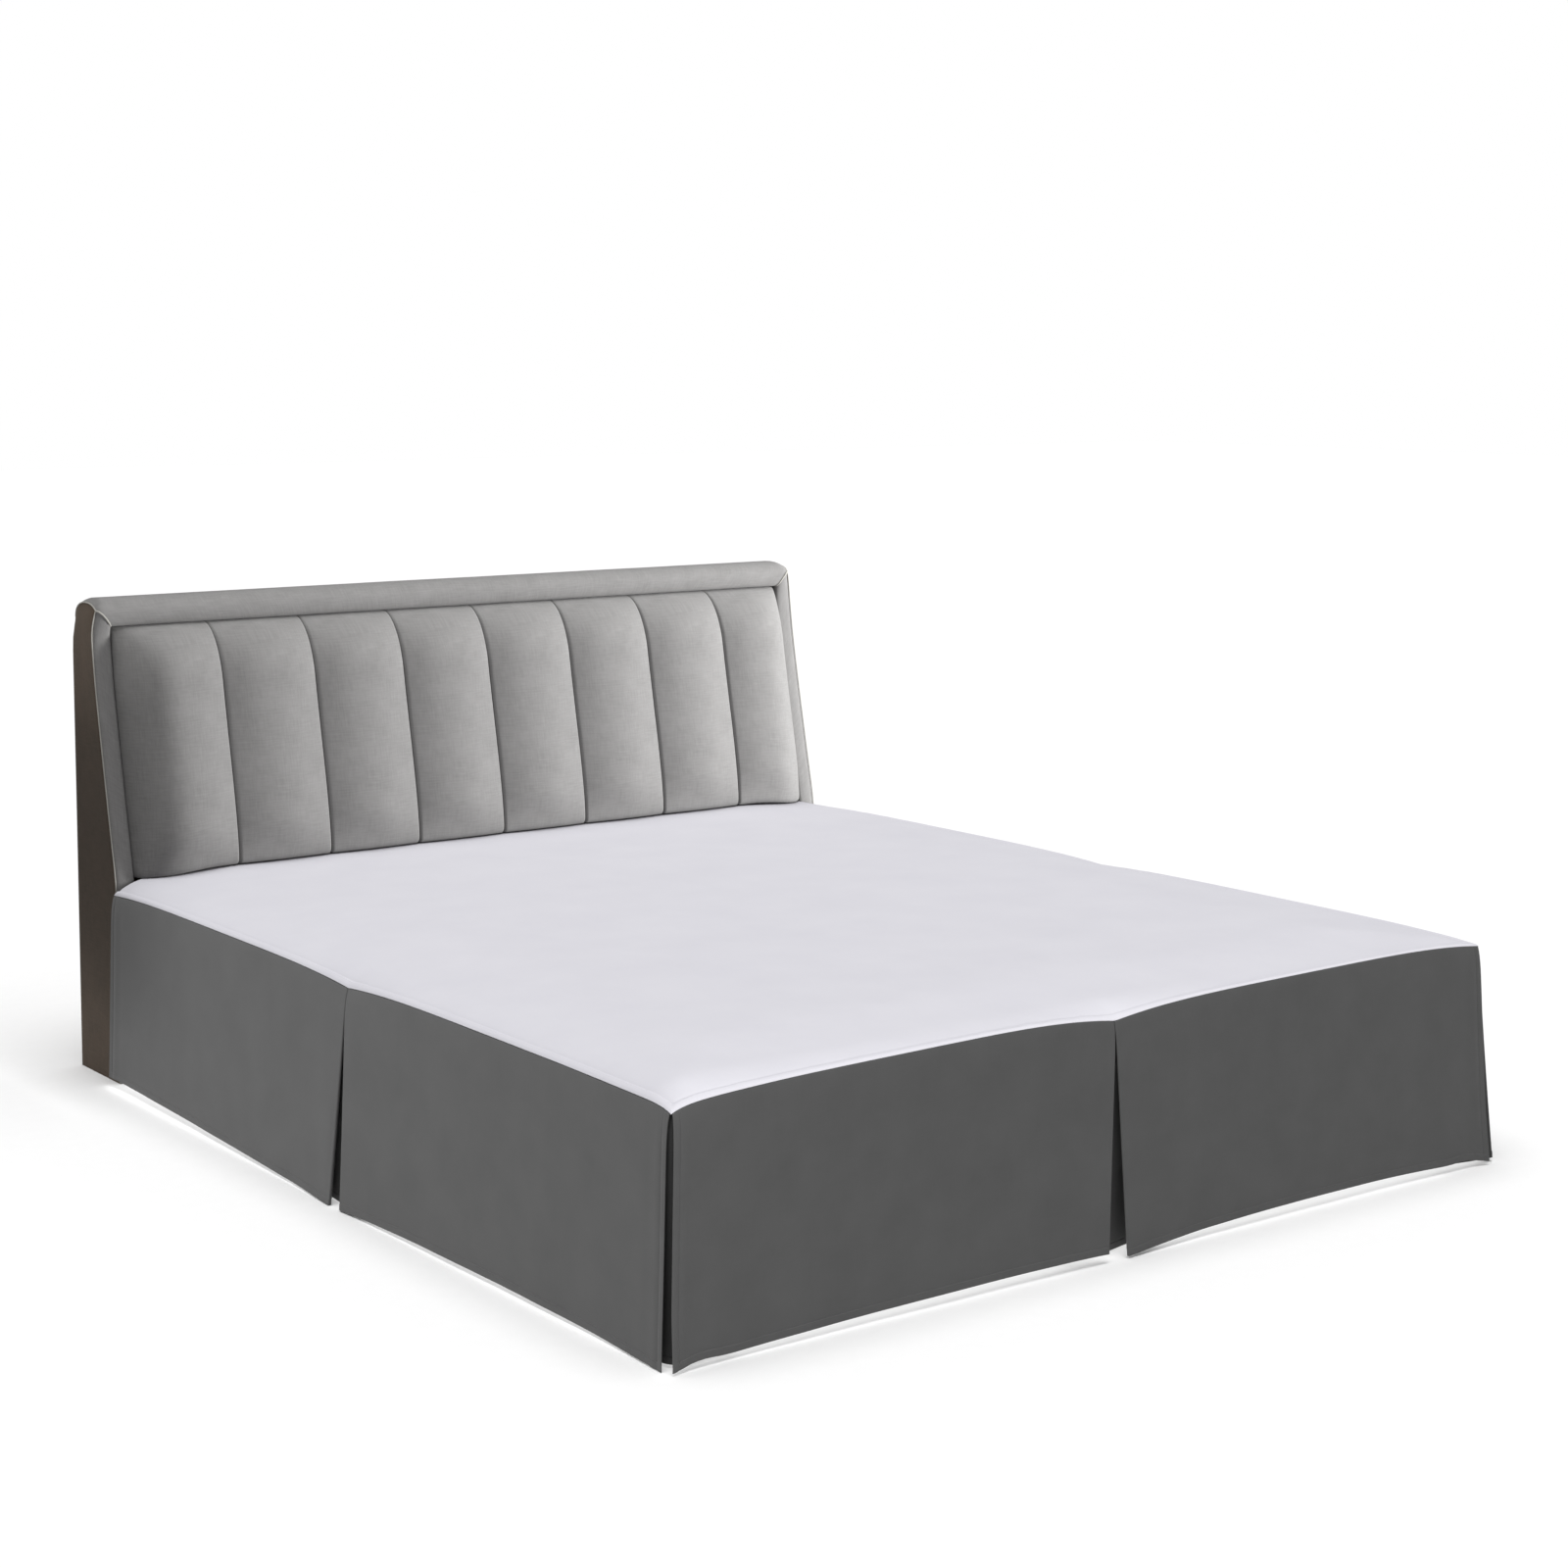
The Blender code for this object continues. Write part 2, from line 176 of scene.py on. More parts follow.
def add_node(
    tree: Tree, kind: str, settings: dict[str | int, Any] | None = None,
    links: dict[str | int, Socket] | None = None,
) -> bpy.types.Node:
    """Adds a node with its settings and links.

    Args:
        tree: the material's node tree.
        kind: the node's type.
        settings: values of its inputs, or of its own properties, by name or number.
        links: the sockets that feed its inputs, by name or number.

    Returns:
        The node.
    """
    node = tree.nodes.new(kind)
    for name, value in (settings or {}).items():
        if isinstance(name, int) or name in node.inputs:
            node.inputs[name].default_value = value
        else:
            setattr(node, name, value)
    for name, socket in (links or {}).items():
        tree.links.new(socket, node.inputs[name])
    return node


def bare_finish(name: str, settings: dict[str, float]) -> Material:
    """Makes a material that has no pattern yet.

    Args:
        name: its name.
        settings: its shader's settings, by name.

    Returns:
        The material.
    """
    made = bpy.data.materials.new(name)
    made.use_nodes = True
    for setting, value in settings.items():
        made.node_tree.nodes["Principled BSDF"].inputs[setting].default_value = value
    return made


def pattern(made: Material, colour: Socket, height: Socket, relief_mm: float) -> None:
    """Gives a material its pattern.

    Args:
        made: the material.
        colour: the pattern's colour.
        height: the pattern's height, from 0 to 1.
        relief_mm: how much that height is, in millimetres.
    """
    tree = made.node_tree
    bump = add_node(tree, "ShaderNodeBump", {"Strength": 1.0, "Distance": relief_mm * MM}, {"Height": height})
    shader = tree.nodes["Principled BSDF"]
    tree.links.new(colour, shader.inputs["Base Color"])
    tree.links.new(bump.outputs[0], shader.inputs["Normal"])


WAVE_PERIOD = math.tau / 20      # what a wave texture's scale divides to give its period


@dataclass(frozen=True)
class WovenCloth:
    """A cloth of interlaced yarns, as its yarn, dye and finish make it look."""

    name: str
    colour: str
    shade: str
    highlight: str
    cloud: float
    cloud_mm: float
    slub: float
    slub_length_mm: float
    slub_width_mm: float
    thread_mm: float
    relief_mm: float
    roughness: float
    sheen: float
    cloud_range: Pair = (0.3, 0.7)
    slub_range: Pair = (0.75, 1.35)

    def material(self) -> Material:
        """Makes the cloth's material, with its pattern laid out in the cloth's own metres.

        Returns:
            The material.
        """
        made = bare_finish(self.name, {
            "Metallic": 0.0, "Roughness": self.roughness, "Sheen Weight": self.sheen,
            "Sheen Roughness": 0.5, "IOR": 1.5, "Specular IOR Level": 0.25,
        })
        tree = made.node_tree
        place = add_node(tree, "ShaderNodeTexCoord").outputs["UV"]
        clouds = add_node(
            tree, "ShaderNodeTexNoise",
            {"Scale": 1 / (self.cloud_mm * MM), "Detail": 4.0, "Roughness": 0.55}, {"Vector": place},
        ).outputs["Fac"]
        length, width = 1 / (self.slub_length_mm * MM), 1 / (self.slub_width_mm * MM)
        sets, yarns = {}, {}
        fine = {"Scale": 1.0, "Detail": 2.0, "Roughness": 0.6}
        for number, scale in enumerate(((width, length, 1.0), (length, width, 1.0))):
            spread = add_node(tree, "ShaderNodeMapping", {"Scale": scale}, {"Vector": place}).outputs[0]
            sets[number] = add_node(tree, "ShaderNodeTexNoise", fine, {"Vector": spread}).outputs["Fac"]
        slubs = add_node(tree, "ShaderNodeMath", {"operation": "ADD"}, sets).outputs[0]
        dyed: dict[str | int, Socket] = {}
        for streaks, (low, high), most, tints in (
            (clouds, self.cloud_range, self.cloud, {6: linear(self.colour), 7: linear(self.shade)}),
            (slubs, self.slub_range, self.slub, {7: linear(self.highlight)}),
        ):
            span = {"From Min": low, "From Max": high, "To Min": 0.0, "To Max": most}
            dyed[0] = add_node(tree, "ShaderNodeMapRange", span, {"Value": streaks}).outputs[0]
            dyed[6] = add_node(tree, "ShaderNodeMix", {"data_type": "RGBA"} | tints, dyed).outputs[2]
        for number, direction in enumerate("XY"):
            wave = {"Scale": WAVE_PERIOD / (self.thread_mm * MM), "bands_direction": direction}
            wave["Distortion"] = 0.6
            yarns[number] = add_node(tree, "ShaderNodeTexWave", wave, {"Vector": place}).outputs["Fac"]
        woven = {0: slubs, 2: add_node(tree, "ShaderNodeMath", {"operation": "MULTIPLY"}, yarns).outputs[0]}
        height = add_node(tree, "ShaderNodeMath", {"operation": "MULTIPLY_ADD", 1: 0.35}, woven).outputs[0]
        pattern(made, dyed[6], height, self.relief_mm)
        return made


@dataclass(frozen=True)
class PlainSurface:
    """A surface with no weave: moulded, painted or bonded, with a fine grain."""

    name: str
    colour: str
    shade: str
    grain_mm: float
    relief_mm: float
    roughness: float
    ior: float

    def material(self) -> Material:
        """Makes the surface's material, with its grain laid out in the object's own metres.

        Returns:
            The material.
        """
        made = bare_finish(self.name, {"Metallic": 0.0, "Roughness": self.roughness, "IOR": self.ior})
        tree = made.node_tree
        place = add_node(tree, "ShaderNodeTexCoord").outputs["Object"]
        fine = {"Scale": 1 / (self.grain_mm * MM), "Detail": 3.0}
        grain = add_node(tree, "ShaderNodeTexNoise", fine, {"Vector": place}).outputs["Fac"]
        tints = {"data_type": "RGBA", 6: linear(self.colour), 7: linear(self.shade)}
        pattern(made, add_node(tree, "ShaderNodeMix", tints, {0: grain}).outputs[2], grain, self.relief_mm)
        return made


# Cotton and polyester percale, bleached and pressed: close and smooth, a white that leans to
# lilac, with no yarn to be seen and only faint clouds where it isn't quite flat. Its threads
# are 0.25 mm apart and are drawn four times as coarse.
PERCALE = WovenCloth(
    "percale", "#cdccd2", "#c6c5cc", "#d6d5da", 0.5, 140, 0.12, 30, 2.0, 1.0, 0.03, 0.85, 0.0
)
# Polyester microfibre, piece-dyed charcoal and brushed: matt, soft, with cloudy patches where
# the nap lies another way and a pale bloom where it turns away. Its threads are 0.2 mm apart
# and are drawn five times as coarse.
MICROFIBRE = WovenCloth(
    "microfibre", "#505050", "#474747", "#575757", 0.55, 90, 0.12, 45, 2.5, 1.0, 0.04, 0.8, 0.12
)
# The same microfibre for the corner strips, with no sheen, and a shade darker: painted shade for the splits.
PAINTED_SHADE_INSERT_CLOTH = WovenCloth(
    "microfibre_back", "#3c3c3c", "#353535", "#424242", 0.4, 90, 0.1, 45, 2.5, 1.0, 0.04, 0.85, 0.0
)
# Linen-look polyester, dyed in the yarn in two greys: uneven yarns make short pale and dark
# streaks both ways. Its yarns are 0.6 mm thick; the weave and slubs are drawn three times as
# coarse.
LINEN = WovenCloth(
    "linen", "#737271", "#676665", "#878685", 0.7, 60, 0.45, 38, 3.0, 1.9, 0.22, 0.85, 0.1
)
# The same cloth, for the headboard's sides and back, in a dark brown-grey that is painted shade.
PAINTED_SHADE_SIDE_LINEN = WovenCloth(
    "side_linen", "#4e4135", "#42372c", "#605244", 0.7, 60, 0.35, 38, 3.0, 1.9, 0.2, 0.85, 0.05
)
# Corded piping cut on the bias from the grey linen: its yarns cross it aslant. Its paler colour is a painted
# highlight, for the light that its round back catches.
PAINTED_HIGHLIGHT_PIPING_CLOTH = WovenCloth(
    "piping_cloth", "#999791", "#8a8883", "#aeaca6", 0.6, 12, 0.4, 9, 1.5, 1.6, 0.1, 0.8, 0.1
)
# Spun polyester sewing thread in charcoal: round, a little brighter than the cloth.
THREAD = PlainSurface("sewing_thread", "#6c6c6c", "#5c5c5c", 0.8, 0.03, 0.6, 1.5)
# Bonded polypropylene lining, black: thin felt with a fine dimpled grain.
LINING = PlainSurface("bonded_lining", "#232323", "#1b1b1b", 3.0, 0.15, 0.9, 1.49)
# Polypropylene, injection moulded in black with a sandblasted mould: an even satin.
LEG_POLYPROPYLENE = PlainSurface("moulded_polypropylene", "#161616", "#1c1c1c", 1.2, 0.05, 0.45, 1.49)
# Black duvetyn, brushed: it gives no light back.
DUVETYN = PlainSurface("black_felt", "#050505", "#070707", 4.0, 0.0, 0.95, 1.4)
# Matt white studio paint on board: even, with no grain to be seen.
STUDIO_PAINT = PlainSurface("studio_paint", "#f4f4f4", "#f1f1f1", 30.0, 0.0, 0.95, 1.5)


# ---------------------------------------------------------------- meshes


class Mesher:
    """Makes meshes of the bed's own shapes and puts them at the bed's place in the frame."""

    def __init__(self) -> None:
        """Finds the bed's middle between its two middle legs."""
        low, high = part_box("leg_middle_left")
        self.middle_y = (low.y + high.y) / 2

    def place(self, point: Sequence[float]) -> Point:
        """Gives a point of the bed its place in the frame."""
        return point[0], point[1] + self.middle_y, point[2]

    def grid(self, name: str, grid: Grid, ring: bool = False) -> Mesh:
        """Makes a mesh through a grid of points, with the cloth's own metres as its UV map.

        Args:
            name: the mesh's name.
            grid: the points, row by row.
            ring: whether each row closes on itself, and the two end rows are capped.

        Returns:
            The mesh.
        """
        rows, columns = len(grid), len(grid[0])
        along = self.measured(grid[rows // 2] + [grid[rows // 2][0]])
        down = self.measured([row[0] for row in grid])
        faces, corners = [], []
        for row in range(rows - 1):
            for lane in range(columns if ring else columns - 1):
                here, beside = row * columns + lane, row * columns + (lane + 1) % columns
                faces.append((here, beside, beside + columns, here + columns))
                corners += [(along[lane], down[row]), (along[lane + 1], down[row])]
                corners += [(along[lane + 1], down[row + 1]), (along[lane], down[row + 1])]
        if ring:
            for row in (0, rows - 1):
                faces.append(tuple(row * columns + column for column in range(columns)))
                corners += [(point[0], point[1]) for point in grid[row]]
        mesh = bpy.data.meshes.new(name)
        mesh.from_pydata([self.place(point) for row in grid for point in row], [], faces)
        layer = mesh.uv_layers.new(name="cloth")
        layer.data.foreach_set("uv", [value for corner in corners for value in corner])
        self.finish(mesh)
        return mesh

    @staticmethod
    def measured(points: Sequence[Point]) -> list[float]:
        """Gives how far along a line of points each of them is."""
        return [0.0, *accumulate(map(math.dist, points, points[1:]))]

    @staticmethod
    def finish(mesh: Mesh, sharp: float = 42.0) -> None:
        """Turns a mesh's faces outward and shades it smoothly.

        Args:
            mesh: the mesh.
            sharp: the angle in degrees from which an edge stays sharp.
        """
        bm = bmesh.new()
        bm.from_mesh(mesh)
        bmesh.ops.recalc_face_normals(bm, faces=bm.faces)
        bm.to_mesh(mesh)
        bm.free()
        mesh.shade_smooth()
        mesh.set_sharp_from_angle(angle=math.radians(sharp))

    @staticmethod
    def circle(middle: Vector, first: Vector, second: Vector, sides: int) -> list[Vector]:
        """Goes round a circle from a first radius towards a second, at a number of points."""
        turns = [math.tau * side / sides for side in range(sides)]
        return [middle + (first * math.cos(turn) + second * math.sin(turn)) for turn in turns]

    def tube(self, name: str, path: Sequence[Point], radius: float, sides: int = 10) -> Mesh:
        """Makes a round cord along a path, with its two ends closed.

        Args:
            name: the mesh's name.
            path: the points that its middle follows.
            radius: its radius in metres.
            sides: how many sides it has.

        Returns:
            The mesh.
        """
        points = [Vector(point) for point in path]
        rings = []
        across = Vector((1.0, 0.0, 0.0))
        for index, point in enumerate(points):
            run = (points[min(index + 1, len(points) - 1)] - points[max(index - 1, 0)]).normalized()
            across = (across - run * across.dot(run)).normalized()
            ring = self.circle(point, across * radius, run.cross(across) * radius, sides)
            rings.append([tuple(vertex) for vertex in ring])
        return self.grid(name, rings, ring=True)

    def stitches(
        self, name: str, path: Sequence[Point], outward: Vector, length: float, pitch: float, radius: float
    ) -> Mesh:
        """Makes a row of lockstitches, each a small spindle that sinks in at both ends.

        Args:
            name: the mesh's name.
            path: the line that they follow on the cloth.
            outward: the way that the cloth faces.
            length: length of the part of a stitch that shows.
            pitch: from one stitch to the next.
            radius: radius of the thread.

        Returns:
            The mesh.
        """
        far = self.measured(path)
        vertices: list[Vector] = []
        faces: list[tuple[int, ...]] = []
        sides = 5
        index = 0
        at = pitch / 2
        while at < far[-1] - pitch / 2:
            while far[index + 1] < at:
                index += 1
            start, end = Vector(path[index]), Vector(path[index + 1])
            run = (end - start).normalized()
            middle = start + run * (at - far[index])
            first = len(vertices)
            for reach in (-0.3, 0.3):
                thick = middle + run * length * reach
                vertices += self.circle(thick, outward * radius, run.cross(outward) * radius, sides)
            vertices += [middle + run * length * reach - outward * radius for reach in (-0.5, 0.5)]
            for side in range(sides):
                here, beside = first + side, first + (side + 1) % sides
                faces.append((here, beside, beside + sides, here + sides))
                faces.append((beside, here, first + 2 * sides))
                faces.append((here + sides, beside + sides, first + 2 * sides + 1))
            at += pitch
        mesh = bpy.data.meshes.new(name)
        mesh.from_pydata([self.place(vertex) for vertex in vertices], [], faces)
        self.finish(mesh, 80.0)
        return mesh

    @staticmethod
    def piece(mesh: Mesh, finish: Material, slot: str, *replaced: str) -> Piece:
        """Puts a mesh in the scene as a piece that rides on the part's one body.

        Args:
            mesh: the mesh, whose name the piece takes.
            finish: its material.
            slot: the record's material slot that it stands for, and the name of the group that
                the piece is kept in.
            replaced: the nodes of the frame that it stands for.

        Returns:
            The piece.
        """
        thing = bpy.data.objects.new(mesh.name, mesh)
        group = bpy.data.collections.get(slot)
        if not group:
            group = bpy.data.collections.new(slot)
            bpy.context.scene.collection.children.link(group)
        group.objects.link(thing)
        mesh.materials.append(finish)
        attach(thing, "root")
        if replaced:
            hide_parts(*replaced)
        LOG.info("%s: %d faces", mesh.name, len(mesh.polygons))
        return thing

    def cloth(self, node: str, grid: Grid, finish: Material, slot: str, thickness: float) -> Piece:
        """Makes a sheet of cloth in place of a node of the frame.

        Args:
            node: the node.
            grid: the points of the sheet, row by row.
            finish: its material.
            slot: its slot.
            thickness: its thickness, half of which lies on each side of the points.

        Returns:
            The sheet.
        """
        thing = self.piece(self.grid(f"{node}_cloth", grid), finish, slot, node)
        solidify = thing.modifiers.new("thickness", "SOLIDIFY")
        solidify.thickness = thickness
        solidify.offset = 0.0
        solidify.use_even_offset = True
        return thing

    def padding(self, name: str, rings: Grid, finish: Material, slot: str, node: str, fill: float) -> None:
        """Makes a padded piece in place of a node of the frame.

        Args:
            name: its name.
            rings: the points of its outline, ring by ring.
            finish: its material.
            slot: its slot.
            node: the node.
            fill: how full of padding it is; not used.
        """
        self.piece(self.grid(name, rings, ring=True), finish, slot, node)


# ---------------------------------------------------------------- the skirt's form


class Side(Enum):
    """A side of the bed that a drop hangs on."""

    LEFT = "left"
    FOOT = "foot"
    RIGHT = "right"


class Line(Enum):
    """A line that a drop follows, by its name in a Panel."""

    SEAM = "seam"
    HEM = "hem"
    OUT = "out"


class Panel(NamedTuple):
    """One plain stretch of a drop, with its seam, its hem and how far its hem stands out."""

    start: float
    end: float
    seam: Point
    hem: Point
    out: Point


PANELS = {
    Side.LEFT: (
        Panel(-1.0, 0.0, (0.384, 0.398, 0.388), (0.0008, 0.008, 0.0015), (0.014, 0.015, 0.029)),
        Panel(0.0, 1.01, (0.388, 0.401, 0.393), (0.0008, 0.011, 0.0200), (0.029, 0.014, 0.012)),
    ),
    Side.FOOT: (
        Panel(-0.9, -0.014, (0.384, 0.409, 0.396), (0.0060, 0.016, 0.0150), (0.014, 0.013, 0.024)),
        Panel(-0.014, 0.90, (0.396, 0.416, 0.405), (0.0030, 0.019, 0.0080), (0.024, 0.013, 0.022)),
    ),
    Side.RIGHT: (
        Panel(-1.0, 0.0, (0.405, 0.414, 0.404), (0.0080, 0.016, 0.0008), (0.032, 0.017, 0.029)),
        Panel(0.0, 1.01, (0.404, 0.412, 0.400), (0.0008, 0.017, 0.0200), (0.029, 0.014, 0.012)),
    ),
}


@dataclass(frozen=True)
class SkirtForm:
    """The shape in which the skirt lies and hangs, before its small folds and stitches."""

    half_width: float = 0.900
    half_length: float = 1.000
    head_end: float = 1.010
    sheet_top: float = 0.419
    crown: float = 0.0135
    crown_reach: float = 0.26
    corner_dip: float = 0.0045
    corner_dip_reach: float = 0.040
    edge_roll: float = 0.070
    cloth: float = 0.0012
    seam_drop: float = 0.0009
    shoulder: float = 0.006
    shoulder_fall: float = 0.020
    flare_power: float = 1.15
    line_power: float = 4
    hem_power: float = 2.4

    def follow(self, line: Line, side: Side, along: float) -> float:
        """Follows one of the lines of a drop, through its start, middle and end on each stretch.

        Args:
            line: which line.
            side: the side that the drop hangs on.
            along: place along that side.

        Returns:
            The line's value at that place.
        """
        first, second = PANELS[side]
        panel = first if along <= first.end else second
        start, middle, end = getattr(panel, line.value)
        part = (along - panel.start) / (panel.end - panel.start)
        bent = bow(part, self.hem_power if line is Line.HEM else self.line_power)
        return mix(start, end, part) + (middle - (start + end) / 2) * bent

    def seam_height(self, side: Side, along: float) -> float:
        """Gives the height of the seam, which dips by the left foot corner.

        Args:
            side: the side that the drop hangs on.
            along: place along that side.

        Returns:
            The height at that place.
        """
        height = self.follow(Line.SEAM, side, along)
        if side is Side.RIGHT:
            return height
        to_corner = along + (self.half_width if side is Side.FOOT else self.half_length)
        near = max(to_corner, 0.0) / self.corner_dip_reach
        return height + self.corner_dip * near * math.exp(1 - near)

    def face(self, side: Side, along: float, down: float, depth: float = 0.0, lift: float = 0.0,
             seam_at: float | None = None) -> Point:
        """Finds a point of a drop, measured along its side, out from it and up.

        Args:
            side: the side that it hangs on.
            along: place along that side.
            down: how far down the drop, as a part of its length.
            depth: how far behind the drop's face.
            lift: how much higher the hem is there.
            seam_at: the place whose seam height counts, where it isn't along.

        Returns:
            Along, outward and height.
        """
        top = self.seam_height(side, along if seam_at is None else seam_at) - self.seam_drop
        height = mix(top, self.follow(Line.HEM, side, along) + lift, down)
        shoulder = self.shoulder * (1 - math.exp((height - top) / self.shoulder_fall))
        flare = self.follow(Line.OUT, side, along) * down**self.flare_power
        return along, shoulder + flare - depth, height

    def on_side(self, side: Side, point: Point) -> Point:
        """Turns along, outward and height into the bed's own x, y and z.

        Args:
            side: the side that they are measured on.
            point: along, outward and height.

        Returns:
            The point.
        """
        along, outward, height = point
        if side is Side.FOOT:
            return along, -self.half_length - outward, height
        if side is Side.LEFT:
            return -self.half_width - outward, along, height
        return self.half_width + outward, along, height

    @staticmethod
    def outward(side: Side) -> Vector:
        """Gives the way that a side faces."""
        return Vector({Side.LEFT: (-1, 0, 0), Side.FOOT: (0, -1, 0), Side.RIGHT: (1, 0, 0)}[side])


HEM_STITCH = 12.0 * MM           # from the edge of a narrow hem to its stitches
HEM_STOPS = millimetres(0, 0.6, 2, 5, 8, 10.2, 11, 11.6, 12, 12.4, 13, 14, 16, 20, 27, 36)
FOLD_STOPS = millimetres(0, 2, 5, 9, 14, 20, 28, 38)
SEAM_STOPS = millimetres(0, 1.5, 3, 5, 7.5, 10.5, 14, 18, 23, 30, 40)


HEM_HEIGHT, HEM_FOLD, HEM_SLOPE = millimetres(0.5, 13.5, 2.5)
HEM_PULL = Crease(-0.00055, HEM_STITCH, 0.0009)


def hem_relief(distance: float) -> float:
    """Gives how far a narrow hem stands out at a distance from its edge: its stitches pull it in."""
    return HEM_HEIGHT * ease((HEM_FOLD - distance) / HEM_SLOPE) + HEM_PULL.at(distance)


@dataclass
class Drop:
    """A drop with narrow hems and an inverted box pleat in its middle."""

    form: SkirtForm
    mesher: Mesher
    side: Side
    start: float
    end: float
    pleat_apex: float
    pleat_middle: float
    start_lean: float
    end_lean: float
    pleat_lean: float = 0.0
    opening: Pair = (0.0008, 0.037)
    layer_pitch: Pair = (0.0026, 0.0120)
    length: float = 0.395
    fold_turn: Pair = (0.0022, 0.0050)
    pleat_return: float = 0.070
    pleat_lift: float = 0.0005
    column_step: float = 0.014
    row_step: float = 0.012
    fold_steps: int = 8
    seam_allowance: float = 0.012
    stitch_length: float = 0.0025
    stitch_pitch: float = 0.0033
    thread_radius: float = 0.00035
    stitch_margin: float = 0.003
    hem_line_steps: int = 120
    hang: Ripple = Ripple(0.0015, 0.17, 0.9, 0.0)
    dent: Ripple = Ripple(0.0005, 0.06, 0.09, 5.0)
    pucker: Ripple = Ripple(0.00055, 0.011, 0.05, 9.0)
    pucker_fall: float = 0.016
    by_edge: Crease = Crease(1.0, 0.0, 0.09)
    by_fold: Crease = Crease(0.6, 0.0, 0.07)
    pressed: tuple[Crease, ...] = (
        Crease(0.0008, 0.024, 0.006), Crease(-0.0006, 0.034, 0.007), Crease(-0.0005, 0.012, 0.003)
    )
    low_from: float = 0.75
    low_out: Crease = Crease(0.004, 0.0, 0.02)
    low_up: tuple[Crease, ...] = (Crease(0.0045, 0.055, 0.035), Crease(-0.0012, 0.0, 0.015))

    def pleat(self, down: float) -> list[Pair]:
        """Follows the cloth through the pleat, from one fold edge to the other.

        Args:
            down: how far down the drop, as a part of its length.

        Returns:
            Pairs of place along and depth behind the drop's face.
        """
        turn_depth = mix(*self.fold_turn, down)
        pitch = mix(*self.layer_pitch, down)
        opening = mix(*self.opening, max(0.0, (down - self.pleat_apex) / (1 - self.pleat_apex)))
        front = opening / 2 + self.form.cloth / 2 + turn_depth / 2
        back = opening / 2 + self.pleat_return
        turns = [math.pi * (0.5 - step / self.fold_steps) for step in range(self.fold_steps + 1)]
        half = [
            (-front + math.cos(turn) * turn_depth / 2, (1 - math.sin(turn)) * turn_depth / 2)
            for turn in turns
        ]
        half += [(mix(-front, -back, part / 5), mix(turn_depth, pitch, part / 5)) for part in range(1, 5)]
        half += [(-back - math.cos(turn) * pitch / 2, (3 - math.sin(turn)) * pitch / 2) for turn in turns]
        half += [(mix(-back, 0, part / 6), 2 * pitch) for part in range(1, 6)]
        whole = half + [(-along, depth) for along, depth in reversed(half)]
        middle = self.pleat_middle + self.pleat_lean * down
        return [(middle + along, depth) for along, depth in whole]

    def marks(self, down: float) -> tuple[float, float, float, float]:
        """Gives a row's start, the pleat's two fold edges on it, and its end, some way down the drop."""
        pleat = self.pleat(down)
        return self.start + self.start_lean * down, pleat[0][0], pleat[-1][0], self.end + self.end_lean * down

    def relief(self, along: float, down: float, edge: float, fold: float) -> float:
        """Gives how far the cloth stands out from the drop's smooth shape.

        Args:
            along: place along the side.
            down: how far down the drop, as a part of its length.
            edge: distance from the nearer split end, where the drop has a side hem.
            fold: distance from the pleat's fold edge.

        Returns:
            The relief in metres.
        """
        fallen, kind = down * self.length, len(self.side.value)
        pulled = 0.35 + self.by_edge.at(edge) + self.by_fold.at(fold)
        pulled *= math.exp(-fallen / self.pucker_fall) * ease(fallen / 0.002)
        soft = self.hang.at(along, fallen, kind) * ease(down / 0.3) + self.dent.at(along, fallen, kind)
        soft += self.pucker.at(along, fallen, kind) * pulled
        soft += sum(line.at(edge) for line in self.pressed) * ease(down / 0.15)
        return soft * ease(min(edge / 0.006, fold / 0.02))

    def surface(self, along: float, down: float, marks: tuple[float, float, float, float]) -> Point:
        """Finds a point of the drop's face beside the pleat, small folds and hems included.

        Args:
            along: place along the side.
            down: how far down the drop, as a part of its length.
            marks: the ends and the folds of the row that it is on.

        Returns:
            The point in the bed's own place.
        """
        start, before, after, end = marks
        edge, fold = min(along - start, end - along), max(before - along, along - after, 0.0)
        _, outward, height = self.form.face(self.side, along, down)
        outward += self.relief(along, down, edge, fold) + hem_relief(min((1 - down) * self.length, edge))
        if self.side is Side.FOOT:
            low = ease((down - self.low_from) / (1 - self.low_from))
            outward += self.low_out.at(edge) * low
            height += sum(line.at(edge) for line in self.low_up) * low
        return self.form.on_side(self.side, (along, outward, height))

    def grid(self) -> Grid:
        """Works out the whole cloth, row by row from the seam to the hem.

        Returns:
            The points in the bed's own place.
        """
        before, after = (
            stretch(abs(far), HEM_STOPS, FOLD_STOPS, self.column_step)[:-1] for far in (self.start, self.end)
        )
        grid = []
        for down in stretch(self.length, SEAM_STOPS, HEM_STOPS, self.row_step):
            start, fold, other_fold, end = marks = self.marks(down)
            row = [self.surface(mix(start, fold, part), down, marks) for part in before]
            for along, depth in self.pleat(down):
                lift = self.pleat_lift * min(1.0, depth / self.layer_pitch[0]) * down
                _, out, height = self.form.face(self.side, along, down, depth, lift, self.pleat_middle)
                out += hem_relief((1 - down) * self.length)
                row.append(self.form.on_side(self.side, (along, out, height)))
            row += [self.surface(mix(end, other_fold, part), down, marks) for part in reversed(after)]
            grid.append(row)
        return grid

    def hem_line(self) -> list[Point]:
        """Finds the line of the hem's stitches on the two plain stretches.

        Returns:
            Points on the cloth's face.
        """
        down = 1 - HEM_STITCH / self.length
        start, fold, other_fold, end = marks = self.marks(down)
        alongs = [
            mix(first + self.stitch_margin, last - self.stitch_margin, index / self.hem_line_steps)
            for first, last in ((start, fold), (other_fold, end))
            for index in range(self.hem_line_steps + 1)
        ]
        proud = self.form.outward(self.side) * self.form.cloth * 0.55
        return [tuple(Vector(self.surface(along, down, marks)) + proud) for along in alongs]

